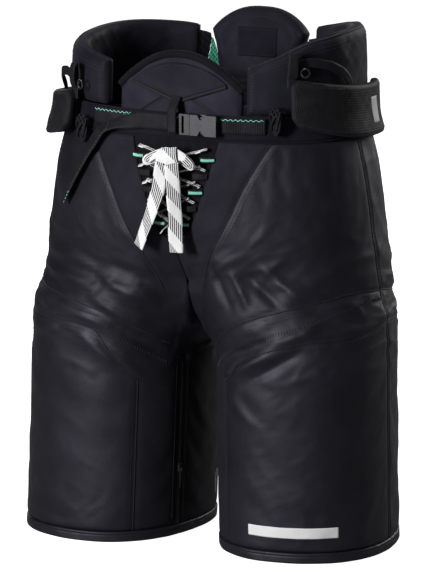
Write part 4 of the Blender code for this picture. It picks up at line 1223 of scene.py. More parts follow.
def skin(side, sign):
    """The nylon and knit of one side, from waist seam to hem, in one piece across the hip."""
    points, faces, grain, matte_shade = skin_mesh(side, sign)
    out = point_normals(points, faces)
    outward = points - np.array([sign * 0.09, 0.0, 0.0])
    outward[:, 2] = 0.0
    if (out * outward).sum() < 0:
        faces, out = faces[:, ::-1], -out
    lines = seam_lines(side, sign)
    near_seam = distance_to(points, np.concatenate([resample(line, 0.0015) for line in lines.values()]))
    edges = boundary_edges(faces)
    rim = np.unique(edges)
    near_rim = distance_to(points, points[rim])
    dip = 0.0016 * np.exp(-((near_seam / 0.0032) ** 2)) + 0.0012 * np.exp(-((near_rim / 0.0030) ** 2))
    lift = creases(points) * smooth(near_rim / 0.016) * (0.35 + 0.65 * smooth(near_seam / 0.010)) - dip
    points = points + out * lift[:, None]
    held = (near_rim < 0.0015) | (near_seam < 0.0018)
    points = settle(points, cut_size(points, side, sign), faces, held)
    out = point_normals(points, faces)
    count = len(points)
    lining = points - out * LINING
    walls = np.stack([edges[:, 1], edges[:, 0], edges[:, 0] + count, edges[:, 1] + count], axis=1)
    every = np.concatenate([faces, faces[:, ::-1] + count, walls])
    made = make_mesh(f"garment_{side}", np.concatenate([points, lining]), every, "garment",
                     np.concatenate([grain, grain]))
    made.data.materials.append(LOOKS["nylon_inside"])
    choice = np.zeros(len(every), np.int32)
    choice[len(faces):2 * len(faces)] = 1
    made.data.polygons.foreach_set("material_index", choice)
    front_x = np.abs(points[:, 0]) - curve(V_SEAM, points[:, 2])
    aside = np.where(points[:, 1] < 0.0, np.maximum(front_x, V_POINT_Z - points[:, 2]), FAR_ASIDE)
    # beside_v marks the knit inside the V seam; the inner-leg attribute marks where painted shade darkens
    # the matte inner leg.
    for name, values in (("beside_v", aside), ("inner_leg_shade", matte_shade)):
        layer = made.data.attributes.new(name, "FLOAT", "POINT")
        layer.data.foreach_set("value", np.concatenate([values, values]).astype(np.float32))
    stands_for = ["hip_panel", "seat_panel", "stretch_panel", "thigh_panel", "back_panel", "inner_front",
                  "inner_back", "flex_band"]
    attach(made, leg=side, replaced=[f"{node}_{side}" for node in stands_for])
    return made, lines


def cloth_on(obj, held, **stiffness):
    """Makes an object's mesh behave as cloth, with some of its points held."""
    group = obj.vertex_groups.new(name="held")
    group.add([int(k) for k in np.flatnonzero(held)], 1.0, "REPLACE")
    settings = obj.modifiers.new("cloth", "CLOTH").settings
    settings.quality = 4
    settings.vertex_group_mass = "held"
    for key, value in stiffness.items():
        setattr(settings, key, value)
    return settings


def settle(start, cut, faces, held, frames=10, cap=0.009):
    """Lets a sheet of cloth find its own folds; cut is its flat size, held points stay put."""
    mesh = bpy.data.meshes.new("sheet")
    mesh.from_pydata(cut.tolist(), [], faces.tolist())
    sheet = bpy.data.objects.new("sheet", mesh)
    bpy.context.scene.collection.objects.link(sheet)
    sheet.shape_key_add(name="cut")
    now = sheet.shape_key_add(name="sewn")
    now.data.foreach_set("co", start.astype(np.float32).ravel())
    now.value = 1.0
    cloth = cloth_on(sheet, held, mass=0.12, tension_stiffness=18.0, compression_stiffness=18.0,
                     shear_stiffness=6.0, bending_stiffness=0.12, tension_damping=8.0,
                     compression_damping=8.0)
    cloth.rest_shape_key = sheet.data.shape_keys.key_blocks["cut"]
    cloth.effector_weights.gravity = 0.05
    return start + capped(run_cloth(sheet, frames) - start, cap)


def run_cloth(obj, frames):
    """Runs the cloth of a helper object, removes it and returns where its points ended."""
    cache = obj.modifiers["cloth"].point_cache
    cache.frame_start, cache.frame_end = 1, frames
    scene = bpy.context.scene
    for number in range(1, frames + 1):
        scene.frame_set(number)
    seen = obj.evaluated_get(bpy.context.evaluated_depsgraph_get())
    found = np.empty(len(seen.data.vertices) * 3, np.float32)
    seen.data.vertices.foreach_get("co", found)
    scene.frame_set(1)
    bpy.data.objects.remove(obj, do_unlink=True)
    return found.reshape(-1, 3).astype(float)


def capped(move, cap):
    """Movements with none longer than cap."""
    size = np.linalg.norm(move, axis=1, keepdims=True)
    return move * np.minimum(1.0, cap / np.maximum(size, 1e-9))


def leg_grid(start, end, low, rows, columns):
    angle = np.linspace(start, end, rows)[:, None]
    v = np.linspace(0.0, 1.0, columns)[None, :]
    high = curve(LEG_TOP, angle)
    return angle + 0.0 * v, low + (high - low) * v


def hem_band(side, sign):
    """The folded hem: a flattened roll of doubled cloth, flat underneath."""
    surface = leg_surface(side)
    t = np.linspace(0.0, 1.0, 21)[None, :]
    angle = np.linspace(0.0, 360.0, 220, endpoint=False)[:, None]
    corner = 0.0022
    z = HEM_HEIGHT * t + 0 * angle
    rounding = np.minimum(z, HEM_HEIGHT - z)
    tuck = corner * (1.0 - quarter_round(rounding, corner))
    base, out = on_surface(surface, angle + 0 * t, z, sign)
    ripple = undulation(base, 0.0004, 0.060)
    groove = 0.0005 * np.exp(-(((z - HEM_ROW_HEIGHT) / 0.0008) ** 2))
    outer = base + out * (0.0004 - 0.8 * tuck + ripple - groove)[..., None]
    inner = base - out * (0.0100 - 0.8 * tuck)[..., None]
    band = close_grids(f"hem_cloth_{side}", outer, inner, "nylon", closed=True)
    attach(band, f"leg_{side}", replaced=[f"hem_{side}"])
    return band


def thigh_guard(side, sign):
    """The foam-backed guard inside the leg: a crowned pad with sewn channels."""
    surface = leg_surface(side)
    a, z = leg_grid(GUARD_SEAM + 5.0, SIDE_SEAM - 4.0, HEM_HEIGHT + 0.0045, 60, 50)
    z = HEM_HEIGHT + 0.0045 + (z - HEM_HEIGHT - 0.0045) * 0.975
    base, out = on_surface(surface, a, z, sign)
    near = edge_distance(base, False)
    half = 0.0046 * quarter_round(near, 0.008) + 0.0004
    spacing = 16.0
    off_channel = np.mod(a + 0.5 * spacing, spacing) - 0.5 * spacing
    channel = np.exp(-((off_channel / 1.1) ** 2)) * smooth(near / 0.02)
    middle = -COVER - 0.0009 - 0.0050
    outer = base + out * (middle + half)[..., None]
    inner = base + out * (middle - half + 0.0022 * channel)[..., None]
    guard = close_grids(f"thigh_guard_pad_{side}", outer, inner, "foam")
    attach(guard, f"leg_{side}", replaced=[f"thigh_guard_{side}"])


def zip_teeth(side, sign):
    """The zip's tape and its two interlocking rows of moulded teeth."""
    surface = leg_surface(side)
    low = HEM_HEIGHT + HEM_GAP
    angle = np.linspace(ZIP_ANGLE - ZIP_HALF, ZIP_ANGLE + ZIP_HALF, 9)[:, None]
    v = np.linspace(0.0, 1.0, 60)[None, :]
    z = low + (curve(LEG_TOP, angle) - low) * v
    a = angle + 0 * v
    base, out = on_surface(surface, a, z, sign)
    tape = close_grids(f"zip_tape_cloth_{side}", base - out * 0.0012, base - out * 0.0030, "webbing")
    attach(tape, leg=side, replaced=[f"zip_tape_{side}"])
    heights = np.arange(low + 0.002, 0.210, 0.0024)
    line, facing = on_surface(surface, np.full(len(heights), ZIP_ANGLE), heights, sign)
    across = unit(np.cross(facing, np.array([0.0, 0.0, 1.0])))
    for way in (-1.0, 1.0):
        shift = across * (0.00095 * way) - facing * 0.0009
        shift = shift + np.array([0.0, 0.0, 0.0006 * way])
        teeth = stitches(f"zip_teeth_{side}_{'a' if way < 0 else 'b'}", line + shift, facing, "plastic",
                         length=0.0026, pitch=0.0024, radius=0.00062, turn=90.0)
        attach(teeth, leg=side)


def seam_rows(side, sign, garment, lines, band):
    """Seam cords and topstitching, laid on the finished cloth."""
    tree = surface_of(garment)
    leg, soft, body = leg_surface(side), flex_surface(side), torso_side(sign)

    def away(guides):
        """Level directions out of the leg, or out of the torso above it."""
        outward = guides.copy()
        outward[:, 0] -= np.where(guides[:, 2] < 0.30, sign * LEG_CENTRE_X, sign * 0.03)
        outward[:, 2] = 0.0
        return unit(outward)

    for key, line in lines.items():
        guides = resample(line, 0.0030)
        places, facing = snapped(tree, guides, away(guides))
        seam = cord_mesh(f"seam_{key}_{side}", places + facing * 0.0001, 0.00075, "seam", sides=6, up=facing)
        attach(seam, leg=side)

    def row(name, guides, **shape):
        attach(sewn(f"{name}_{side}", tree, guides, away(guides), **shape), leg=side)

    z = np.linspace(0.330, 0.480, 90)
    for number, shift in enumerate((0.0050, 0.0088)):
        guides = body(torso_angle(curve(V_SEAM, z) + shift, z), z)
        attach(sewn(f"v_row_{side}_{number}", tree, guides, away(guides)), leg=side)
    row("side_row", body(np.full(80, SIDE_SEAM + 1.7), np.linspace(0.315, 0.482, 80)))
    row("seat_row", body(np.full(80, 177.6), np.linspace(0.30, 0.482, 80)))
    angle = np.linspace(24.0, 176.0, 240)
    row("waist_row", body(angle, np.full(240, WAIST_SEAM_Z - 0.0050)))
    share = np.linspace(0.02, SIDE_SEAM_SHARE - 0.01, 150)
    height = curve(CROSS_SEAM[side], share)
    row("cross_row", soft(share * FLEX_OUTSIDE, height - 0.10))
    row("cross_ladder", soft(share * FLEX_OUTSIDE, height - 0.24), length=0.0046, pitch=0.0034,
        radius=0.00045, turn=90.0)
    angle = np.linspace(GUARD_SEAM + 3.0, SIDE_SEAM - 3.0, 200)
    row("guard_top_row", leg(angle, curve(GUARD_TOP[side], angle) - 0.0052))
    angle = np.linspace(SIDE_SEAM + 3.0, 232.0, 200)
    row("back_top_row", leg(angle, curve(LEG_TOP, angle) - 0.0052))
    z = np.linspace(0.022, float(curve(GUARD_TOP[side], GUARD_SEAM)) - 0.006, 120)
    row("guard_row", leg(np.full(120, GUARD_SEAM + 2.4), z))
    z = np.linspace(0.022, 0.216, 120)
    row("inner_row", leg(np.full(120, ZIP_ANGLE + ZIP_HALF + 2.4), z))
    row("zip_row", leg(np.full(120, 360.0 + ZIP_ANGLE - ZIP_HALF - 2.4), z))
    row("outer_row", leg(np.full(120, SIDE_SEAM + 1.4), np.linspace(0.022, 0.262, 120)))
    guides, outward = on_surface(leg, np.linspace(0.0, 359.0, 500), np.full(500, HEM_ROW_HEIGHT), sign)
    attach(sewn(f"hem_row_{side}", surface_of(band), guides, outward), leg=side)


GUSSET_HALF = 0.022
GUSSET_INSET = 0.0048
GROOVE_SLOPE = ((0.262, 0.45), (0.30, 0.35), (0.34, 0.18), (0.38, 0.03), (0.49, 0.0))


def crotch_gusset():
    """A strip inside the middle seam, from the fly through the crotch and up the seat."""
    front_z, back_z = np.linspace(0.372, 0.320, 14), np.linspace(0.300, 0.484, 40)
    low = flex_surface("left")(np.linspace(1.0, FLEX_OUTSIDE, 30), np.ones(30))
    middle = np.concatenate([torso(np.zeros(14), front_z), low, torso(np.full(40, 180.0), back_z)])
    middle[:, 0] = 0.0
    line = smooth_path(resample(middle, 0.012), 220)
    ahead = direction(line)
    inward = np.cross(ahead, np.array([1.0, 0.0, 0.0]))
    towards = np.array([0.0, 0.0, 0.40]) - line
    inward = inward * np.where((inward * towards).sum(axis=1, keepdims=True) < 0.0, -1.0, 1.0)
    across = np.linspace(-GUSSET_HALF, GUSSET_HALF, 15)[:, None]
    depth = GUSSET_INSET - curve(GROOVE_SLOPE, line[:, 2])[None, :] * np.abs(across)
    points = line[None] + depth[..., None] * inward[None]
    points[..., 0] = across
    strip = close_grids("crotch_gusset", points, points + 0.0012 * inward[None], "nylon_inside")
    attach(strip, "pants")


# ---------------------------------------------------------------- waist and padding


def waistband():
    """A padded knit band with rolled edges and a piped seam below it."""
    angle = np.linspace(-180.0, 180.0, 420, endpoint=False)[:, None]
    t = np.linspace(0.0, 1.0, 17)[None, :]
    low, high = WAIST_SEAM_Z + 0.0003, WAISTBAND_TOP_Z - 0.0003
    z = low + (high - low) * t + 0 * angle
    a = angle + 0 * t
    base, out = on_surface(torso, a, z)
    edge = np.minimum(z - low, high - z)
    roll = 0.0020 * (1.0 - quarter_round(edge, 0.003))
    ripple = undulation(base, 0.0003, 0.045)
    outer = base + out * (-roll + ripple)[..., None]
    inner = base - out * (0.0060 - roll)[..., None]
    band = close_grids("waistband_knit", outer, inner, "knit", closed=True)
    attach(band, "pants", replaced=["waistband"])
    around = np.linspace(-180.0, 180.0, 300, endpoint=False)
    line, out = on_surface(torso, around, np.full(300, WAIST_SEAM_Z))
    piping = cord_mesh("waist_piping", line + out * 0.0002, 0.0009, "knit", closed=True)
    attach(piping, "pants")


def pillow(name, surface, a, z, sign, outer, inner, look, edge, rim, extra=None, puff=0.0):
    """A crowned pad between two offsets of a surface, thinning to a sewn rim."""
    base, out = on_surface(surface, a, z, sign)
    near = edge_distance(base, False)
    share = quarter_round(near, edge)
    middle = 0.5 * (outer + inner)
    half = 0.5 * (outer - inner)
    swell = rim + (half - rim) * share
    top = middle + swell + undulation(base, 0.0004, 0.05) * share
    bottom = middle - swell - undulation(base, 0.0004, 0.043) * share
    if extra is not None:
        top = top + extra(base, near)
    made = close_grids(name, base + out * top[..., None], base + out * bottom[..., None], look)
    if puff:
        inflate(made, a.shape, puff)
    return made


def inflate(pad, shape, pressure, frames=5, cap=0.0022):
    """Fills a closed pad with air under cloth simulation, its sewn rim held."""
    mesh = pad.data
    count = len(mesh.vertices)
    start = np.empty(count * 3)
    mesh.vertices.foreach_get("co", start)
    start = start.reshape(-1, 3)
    layer = shape[0] * shape[1]
    thickness = np.linalg.norm(start[:layer] - start[layer:], axis=1)
    rim = np.tile(thickness < 0.45 * thickness.max(), 2)
    trial = pad.copy()
    trial.data = mesh.copy()
    bpy.context.scene.collection.objects.link(trial)
    cloth = cloth_on(trial, rim, mass=0.15, tension_stiffness=25.0, compression_stiffness=25.0,
                     shear_stiffness=12.0, bending_stiffness=0.8, use_pressure=True,
                     uniform_pressure_force=pressure, shrink_min=-0.015)
    cloth.effector_weights.gravity = 0.0
    move = (run_cloth(trial, frames) - start).reshape(2, *shape, 3)
    for _ in range(4):
        for axis in (1, 2):
            wide = np.pad(move, [(1, 1) if k == axis else (0, 0) for k in range(4)], mode="edge")
            size = move.shape[axis]
            before, after = wide.take(range(size), axis), wide.take(range(2, size + 2), axis)
            move = 0.25 * before + 0.5 * move + 0.25 * after
    placed = start + capped(move.reshape(-1, 3), cap)
    mesh.vertices.foreach_set("co", placed.astype(np.float32).ravel())
    mesh.update()


def hip_pad(side, sign):
    """The raised hip pad: jersey over foam, a piped rim and a laddered front edge."""
    surface = torso_side(sign)
    front = lambda z: torso_angle(PAD_FRONT_X[side], z)
    back = lambda z: torso_angle(PAD_BACK_X, z, back=True)
    top = lambda angle: curve(PAD_RIM[side], angle)
    a, z = patch(front, back, constant(WAISTBAND_TOP_Z + 0.0006), top, 110, 44)
    pad = pillow(f"hip_pad_cloth_{side}", surface, a, z, sign, -0.0004, -PAD_THICKNESS, "jersey",
                 edge=0.011, rim=0.0034, puff=2.5)
    attach(pad, "pants", replaced=[f"hip_pad_{side}", f"hip_plate_{side}"])
    angle = np.linspace(float(front(0.56)) + 1.0, float(back(0.58)) - 1.0, 160)
    rim_z = curve(PAD_RIM[side], angle)
    out = normals(surface, angle, rim_z, sign)
    for number, (inset, depth) in enumerate(((0.0010, -0.0062), (0.0010, -0.0142))):
        line = surface(angle, rim_z - inset) + out * depth
        piping = cord_mesh(f"rim_piping_{side}_{number}", line, 0.0017, "jersey")
        attach(piping, "pants")
    tree = surface_of(pad)
    for number, inset in enumerate((0.0085, 0.0125)):
        row = sewn(f"rim_row_{side}_{number}", tree, surface(angle, rim_z - inset), out)
        attach(row, "pants")
    line_z = np.linspace(WAISTBAND_TOP_Z + 0.006, float(curve(PAD_RIM[side], 40.0)) - 0.006, 50)
    line_a = torso_angle(PAD_FRONT_X[side] + 0.0065, line_z)
    ladder = sewn(f"pad_edge_ladder_{side}", tree, *on_surface(surface, line_a, line_z, sign),
                  length=0.0060, pitch=0.0032, radius=0.0004, turn=90.0)
    attach(ladder, "pants")


def back_pad_grid(rows, columns):
    u, v = share_grid(rows, columns, -1.0)
    top = BACK_PAD_TOP - BACK_PAD_DROP * np.abs(u) ** 2.6
    z = BACK_PAD_BOTTOM + (top - BACK_PAD_BOTTOM) * v
    angle = torso_angle(curve(BACK_PAD_EDGE, z), z, back=True)
    return 180.0 - u * (180.0 - angle), z


def back_pad():
    """The domed back pad with quilting outside and a blank sewn label inside."""
    a, z = back_pad_grid(90, 56)

    def spine(base, near):
        ridge = 0.0012 * np.cos(base[..., 0] / 0.0085 * math.pi) * smooth(near / 0.016)
        return np.minimum(ridge, 0.0)

    pad = pillow("back_pad_cloth", torso, a, z, 1.0, -0.0004, -BACK_PAD_THICKNESS, "jersey", edge=0.013,
                 rim=0.0036, extra=spine, puff=2.5)
    attach(pad, "back_pad", replaced=["back_pad", "spine_plate"])
    tree = surface_of(pad)
    u = np.linspace(-1.0, 1.0, 120)
    rim_z = BACK_PAD_TOP - BACK_PAD_DROP * np.abs(u) ** 2.6 - 0.0095
    rim_a = torso_angle(u * (curve(BACK_PAD_EDGE, rim_z) - 0.0095), rim_z, back=True)
    guides, outward = on_surface(torso, rim_a, rim_z)
    row = sewn("back_pad_row", tree, guides - outward * INNER_FACE, -outward)
    attach(row, "back_pad")
    label(tree)


LABEL_HALF, LABEL_LOW, LABEL_HIGH = 0.027, 0.549, 0.584


def label(tree):
    """A plain woven patch with a stitched border on the pad's inner face."""
    half_x, low, high = LABEL_HALF, LABEL_LOW, LABEL_HIGH
    x = np.linspace(-half_x, half_x, 40)[:, None]
    z = np.linspace(low, high, 26)[None, :]
    x, z = np.broadcast_arrays(x, z)
    guides, outward = on_torso(x, z, back=True)
    places, facing = snapped_grid(tree, guides - outward * INNER_FACE, -outward)
    near = edge_distance(places, False)
    raised = 0.0008 * smooth(near / 0.0015)
    patch_piece = close_grids("plain_label", places + facing * (raised + 0.0001)[..., None],
                              places - facing * 0.0004, "knit")
    attach(patch_piece, "back_pad")
    inset = 0.0028
    side, bottom, rim = half_x - inset, low + inset, high - inset
    corners = ((-side, bottom), (side, bottom), (side, rim), (-side, rim), (-side, bottom))
    border = resample(np.array([(cx, 0.0, cz) for cx, cz in corners]), 0.002)
    guides, outward = on_torso(border[:, 0], border[:, 2], back=True)
    row = sewn("label_border", surface_of(patch_piece), guides - outward * INNER_FACE, -outward,
               length=0.0022, pitch=0.0030)
    attach(row, "back_pad")


HINGE_HALF, HINGE_LOW, HINGE_HIGH = 0.081, 0.5160, 0.5240


def back_hinge():
    """A folded knit strip that joins the back pad to the waistband."""
    x = np.linspace(-HINGE_HALF, HINGE_HALF, 90)[:, None]
    z = np.linspace(HINGE_LOW, HINGE_HIGH, 12)[None, :]
    x, z = np.broadcast_arrays(x, z)
    base, out = on_torso(x, z, back=True)
    fold_in = 0.0010 * np.cos((z - HINGE_LOW) * 780.0)
    strip = close_grids("back_hinge_strip", base + out * (-0.0075 + fold_in)[..., None],
                        base - out * 0.0160, "knit")
    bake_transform(strip)


NET_TOP = 0.576


def mesh_gusset(side, sign):
    """Green net, gathered in the slit between the hip pad and the back pad, beside a dark knit wedge."""
    surface = torso_side(sign)
    z = np.linspace(WAISTBAND_TOP_Z + 0.003, NET_TOP, 60)[None, :]
    outer_edge = torso_angle(PAD_BACK_X - 0.0003, z, back=True)
    inner_edge = torso_angle(curve(BACK_PAD_EDGE, z) + 0.0004, z, back=True)
    rise = (z - z.min()) / (NET_TOP - z.min())
    split = 0.16 + 0.66 * rise
    for name, first, last, look in (("knit_wedge", 0.0 * split, split, "seam_knit"),
                                    ("green_net", split, 1.0 + 0.0 * split, "net")):
        share = first + (last - first) * np.linspace(0.0, 1.0, 16)[:, None]
        a = outer_edge + (inner_edge - outer_edge) * share
        height = z - (0.010 if look == "net" else 0.004) * share * rise
        base, out = on_surface(surface, a, height, sign)
        ruffle = 0.0018 * np.sin(base[..., 2] * 620.0 + 9.0 * share) * np.sin(np.pi * share)
        outer = base + out * (-0.0110 + ruffle)[..., None]
        piece = close_grids(f"{name}_{side}", outer, outer - out * 0.0008, look)
        if look == "net":
            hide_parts(f"mesh_gusset_{side}")
        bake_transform(piece)


WING_SEAM = 0.5435  # the height of the wing seams, carried to the pad's middle


def front_pad():
    """The abdominal pad: a bound arch with quilted wings."""
    u, v = share_grid(120, 60, -1.0)
    top = FRONT_PAD_TOP - FRONT_PAD_DROP * np.abs(u) ** 2.2
    z = FRONT_PAD_BOTTOM + (top - FRONT_PAD_BOTTOM) * v
    a = torso_angle(FRONT_PAD_HALF, z) * u

    def quilting(base, near):
        lean = base[..., 2] + 0.62 * np.abs(base[..., 0])
        channel = np.exp(-(((lean - WING_SEAM) / 0.0016) ** 2))
        return -0.0026 * channel * smooth((near - 0.004) / 0.006)

    pad = pillow("front_pad_cloth", torso, a, z, 1.0, -0.0064, -0.0190, "wing", edge=0.010, rim=0.0022,
                 extra=quilting, puff=1.5)
    attach(pad, "pants", replaced=["front_pad"])
    u = np.linspace(-0.995, 0.995, 160)
    arch_z = FRONT_PAD_TOP - FRONT_PAD_DROP * np.abs(u) ** 2.2 - 0.0012
    arch_a = torso_angle(FRONT_PAD_HALF, arch_z) * u
    edge, outward = on_surface(torso, arch_a, arch_z)
    binding = cord_mesh("arch_binding", edge - outward * 0.0088, 0.0048, "seam_knit", sides=14, squeeze=1.2,
                        up=-outward)
    attach(binding, "pants")
    tree = surface_of(pad)
    guides, outward = on_surface(torso, arch_a[6:-6], arch_z[6:-6] - 0.0085)
    attach(sewn("arch_row", tree, guides, outward), "pants")


BADGE_HALF = 0.060


def badge_edges(u):
    high = FRONT_PAD_TOP - 0.0105 - 0.0219 * np.abs(u) ** 2.2
    low = 0.5300 + 0.0200 * np.abs(u)
    return low, high


def badge():
    """A plain raised shield on the abdominal pad, with a stitched border and no lettering."""
    u, v = share_grid(90, 34, -1.0)
    low, high = badge_edges(u)
    z = low + (high - low) * v
    a = torso_angle(BADGE_HALF, z) * u
    shield = pillow("plain_badge", torso, a, z, 1.0, -0.0034, -0.0068, "jersey", edge=0.004, rim=0.0006)
    attach(shield, "pants", replaced=["front_badge"])
    share = np.linspace(-1.0, 1.0, 121)
    low = badge_edges(share)[0] - 0.0014
    angle = torso_angle(BADGE_HALF, low) * share
    edge, facing = on_surface(torso, angle, low)
    cord = cord_mesh("badge_piping", edge - facing * 0.0052, 0.0024, "seam", up=facing)
    attach(cord, "pants")
    tree = surface_of(shield)
    for inset, name in ((0.0030, "badge_border"), (0.0062, "badge_inner_border")):
        share = np.linspace(-1.0, 1.0, 90) * (1.0 - inset / BADGE_HALF)
        low, high = badge_edges(share)
        x = np.concatenate([share, share[::-1], share[:1]]) * BADGE_HALF
        z = np.concatenate([high - inset, (low + inset)[::-1], high[:1] - inset])
        ring = resample(np.stack([x, 0 * x, z], axis=1), 0.002)
        row = sewn(name, tree, *on_torso(ring[:, 0], ring[:, 2]), length=0.0026, pitch=0.0036)
        attach(row, "pants")


# ---------------------------------------------------------------- belt, buckle and cuffs


def belt_piece(name, start_x, end_x, replaced):
    """Ribbed webbing on the waistband, with a mint zigzag along its top edge."""
    count = int(abs(end_x - start_x) / 0.00035)
    x = np.linspace(start_x, end_x, count)
    base, out = on_torso(x, np.full(count, BELT_Z))
    line = base + out * 0.0035
    belt = ribbon(name, line, out, 2 * BELT_HALF, 0.0018, "webbing", 0.20)
    attach(belt, "pants", replaced=[replaced])
    zig = np.where(np.arange(0, count, 8) % 16 == 0, 1.0, -1.0)
    points = (line + out * 0.0010)[::8] + np.outer(BELT_HALF - 0.0026 + zig * 0.0010, (0.0, 0.0, 1.0))
    thread = cord_mesh(f"{name}_zigzag", points, 0.00036, "mint", sides=6, up=out[::8])
    attach(thread, "pants")


def buckle():
    """The CAD buckle keeps its shape: softened edges and moulded plastic."""
    for node, look in (("buckle_female", "housing"), ("buckle_male", "plastic"),
                       ("prong_upper", "plastic"), ("prong_lower", "plastic")):
        finish_node(node, look, 0.0007 if "buckle" in node else 0.0003)


def finish_node(node, look, edge):
    """Gives a CAD piece its material and rounds its sharp edges a little."""
    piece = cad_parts[node]
    piece.data.materials.clear()
    piece.data.materials.append(LOOKS[look])
    soften = piece.modifiers.new("soft_edges", "BEVEL")
    soften.width = edge
    soften.segments = 3
    soften.limit_method = "ANGLE"
    soften.angle_limit = math.radians(35.0)


def keeper_loop():
    """The hanging webbing loop that keeps the belt in place."""
    front_y = float(torso(0.0, BELT_Z)[1])
    face_y = front_y - 0.0044 - 0.0058
    low = BELT_Z - BELT_HALF - 0.0022
    behind = lambda z: (0.0, float(torso(0.0, z)[1]) - 0.0013, z)
    knots = [
        (0.0, front_y + 0.0042, 0.5355), (0.0, front_y + 0.0015, 0.5325), (0.0, face_y + 0.0012, 0.5225),
        (0.0, face_y, 0.5180), (0.0, face_y, BELT_Z), (0.0, face_y, low + 0.0022),
        (0.0, face_y + 0.0024, low), (0.0, front_y - 0.0040, low), behind(low + 0.0022), behind(BELT_Z),
        behind(0.5150),
    ]
    line = resample(np.array(knots), 0.0004)
    ahead = direction(line)
    facing = np.cross(ahead, np.array([1.0, 0.0, 0.0]))
    loop = ribbon("keeper_webbing", line, facing, LOOP_WIDTH, 0.0015, "webbing", 0.18)
    attach(loop, "pants", replaced=["keeper_loop"])


def cuff(side, sign):
    """A padded sleeve of ribbed webbing on the hip, with a plain white bar."""
    surface = torso_side(sign)
    u = np.linspace(CUFF_ANGLES[0], CUFF_ANGLES[1], 120)[:, None]
    v = np.linspace(0.0, 1.0, 70)[None, :]
    low, high = curve(CUFF_LOW[side], u), curve(CUFF_HIGH[side], u)
    end_share = (u - CUFF_ANGLES[0]) / (CUFF_ANGLES[1] - CUFF_ANGLES[0])
    round_end = 0.010 * np.clip(1.0 - end_share / 0.06, 0, 1) ** 2
    round_end += 0.014 * np.clip((end_share - 0.90) / 0.10, 0, 1) ** 2
    hollow = 0.0022 * np.sin(np.pi * end_share)
    z = (low + round_end) + (high - hollow - low - 2 * round_end) * v
    a = u + 0 * v

    def ribs(base, near):
        wave = 0.00032 * np.cos(2.0 * math.pi * v * 21.0) * (1.0 - 0.6 * end_share)
        return wave * smooth((near - 0.004) / 0.004)

    sleeve = pillow(f"cuff_webbing_{side}", surface, a, z, sign, CUFF_OUTER[side], CUFF_INNER[side],
                    "webbing", edge=0.0065, rim=0.0016, extra=ribs)
    attach(sleeve, "pants", replaced=[f"cuff_{side}"])
    tree = surface_of(sleeve)
    for number, share in enumerate((0.09, 0.91)):
        line_a = np.linspace(CUFF_ANGLES[0] + 2.5, CUFF_ANGLES[1] - 3.5, 120)
        line_low, line_high = curve(CUFF_LOW[side], line_a), curve(CUFF_HIGH[side], line_a) - 0.001
        line_z = line_low + (line_high - line_low) * share
        guides, out = on_surface(surface, line_a, line_z, sign)
        row = sewn(f"cuff_row_{side}_{number}", tree, guides + out * 0.015, out)
        attach(row, "pants")
    bar(f"cuff_bar_{side}", tree, surface, sign, (94.5, 100.5), CUFF_LOW[side], 0.0145, 0.030, 0.015,
        "pants")


def bar(name, tree, surface, sign, angles, low_table, rise, height, lift, body=None, leg=None):
    """A plain white strip printed on the cloth."""
    a = np.linspace(*angles, 60)[:, None]
    t = np.linspace(0.0, 1.0, 12)[None, :]
    z = curve(low_table, a) + rise + height * t
    a = a + 0 * t
    guides, out = on_surface(surface, a, z, sign)
    places, facing = snapped_grid(tree, guides + out * lift, out)
    strip = close_grids(name, places + facing * 0.0004, places - facing * 0.0003, "mark")
    attach(strip, body, leg=leg)


def hem_bar(garment):
    """A plain reflective strip above the wearer's left hem."""
    bar("hem_bar", surface_of(garment), leg_surface("left"), 1.0, (-11.0, 42.0), ((-20, 0.030), (60, 0.030)),
        0.0, 0.0125, 0.0, leg="left")


def cuff_corner(side, sign, lift):
    """A point off the cuff's top front corner, and the outward direction there."""
    angle = np.array([CUFF_ANGLES[0] + 1.0])
    z = curve(CUFF_HIGH[side], angle) + lift
    surface = torso_side(sign)
    return surface(angle, z)[0], normals(surface, angle, z, sign)[0]


# The cuff's bunched cord, one row per strand: turns round, waves up and down, width, height.
KNOT_TURNS = ((3.0, 4.0, 0.0074, 0.0096), (2.0, 5.0, 0.0092, 0.0124), (5.0, 3.0, 0.0066, 0.0150))


def cuff_trims(side, sign):
    """The webbing loop and the bunched cord by the cuff, and its metal ring."""
    middle, outward = cuff_corner(side, sign, 0.0158)
    turns = np.linspace(0.0, 2.0 * math.pi, 90, endpoint=False)
    line = middle + outward * (0.0125 + 0.0042 * np.cos(turns))[:, None]
    line = line + np.outer(0.0140 * np.sin(turns), (0.0, 0.0, 1.0))
    facing = outward * np.cos(turns)[:, None] + np.outer(np.sin(turns), (0.0, 0.0, 1.0))
    loop = ribbon(f"cuff_loop_webbing_{side}", line, facing, LOOP_WIDTH, 0.0016, "webbing", 0.18,
                  closed=True)
    attach(loop, "pants", replaced=[f"cuff_loop_{side}"])
    finish_node(f"cuff_ring_{side}", "metal", 0.0001)
    cuff_fold(side, sign)
    z = float(curve(CUFF_LOW[side], CUFF_ANGLES[0])) + 0.006
    centre = torso(sign * (CUFF_ANGLES[0] - 6.5), z) + np.array([sign * 0.55, -0.83, 0.0]) * 0.0110
    t = np.linspace(0.0, 2.0 * math.pi, 220, endpoint=False)
    for number, (wind, wrap, wide, tall) in enumerate(KNOT_TURNS):
        reach = 0.62 + 0.30 * np.cos(wrap * t + 0.7 * number)
        x, y = wide * reach * np.cos(wind * t + number), 0.0058 * reach * np.sin(wind * t)
        line = centre + np.stack([x, y, tall * np.sin(wrap * t + 0.4 + 1.1 * number)], axis=1)
        knot = cord_mesh(f"cuff_knot_cord_{side}_{number}", line, 0.0012, "webbing", sides=8, closed=True)
        attach(knot, "pants", replaced=[f"cuff_knot_{side}"] if number == 0 else ())


# The strap folded over the cuff: angle, and height above the cuff's top edge.
FOLD_PATH = ((57.5, -0.012), (57.8, 0.006), (60.0, 0.0165), (65.0, 0.0215), (72.0, 0.0200), (78.0, 0.0135),
             (82.0, 0.0040), (83.5, -0.008))


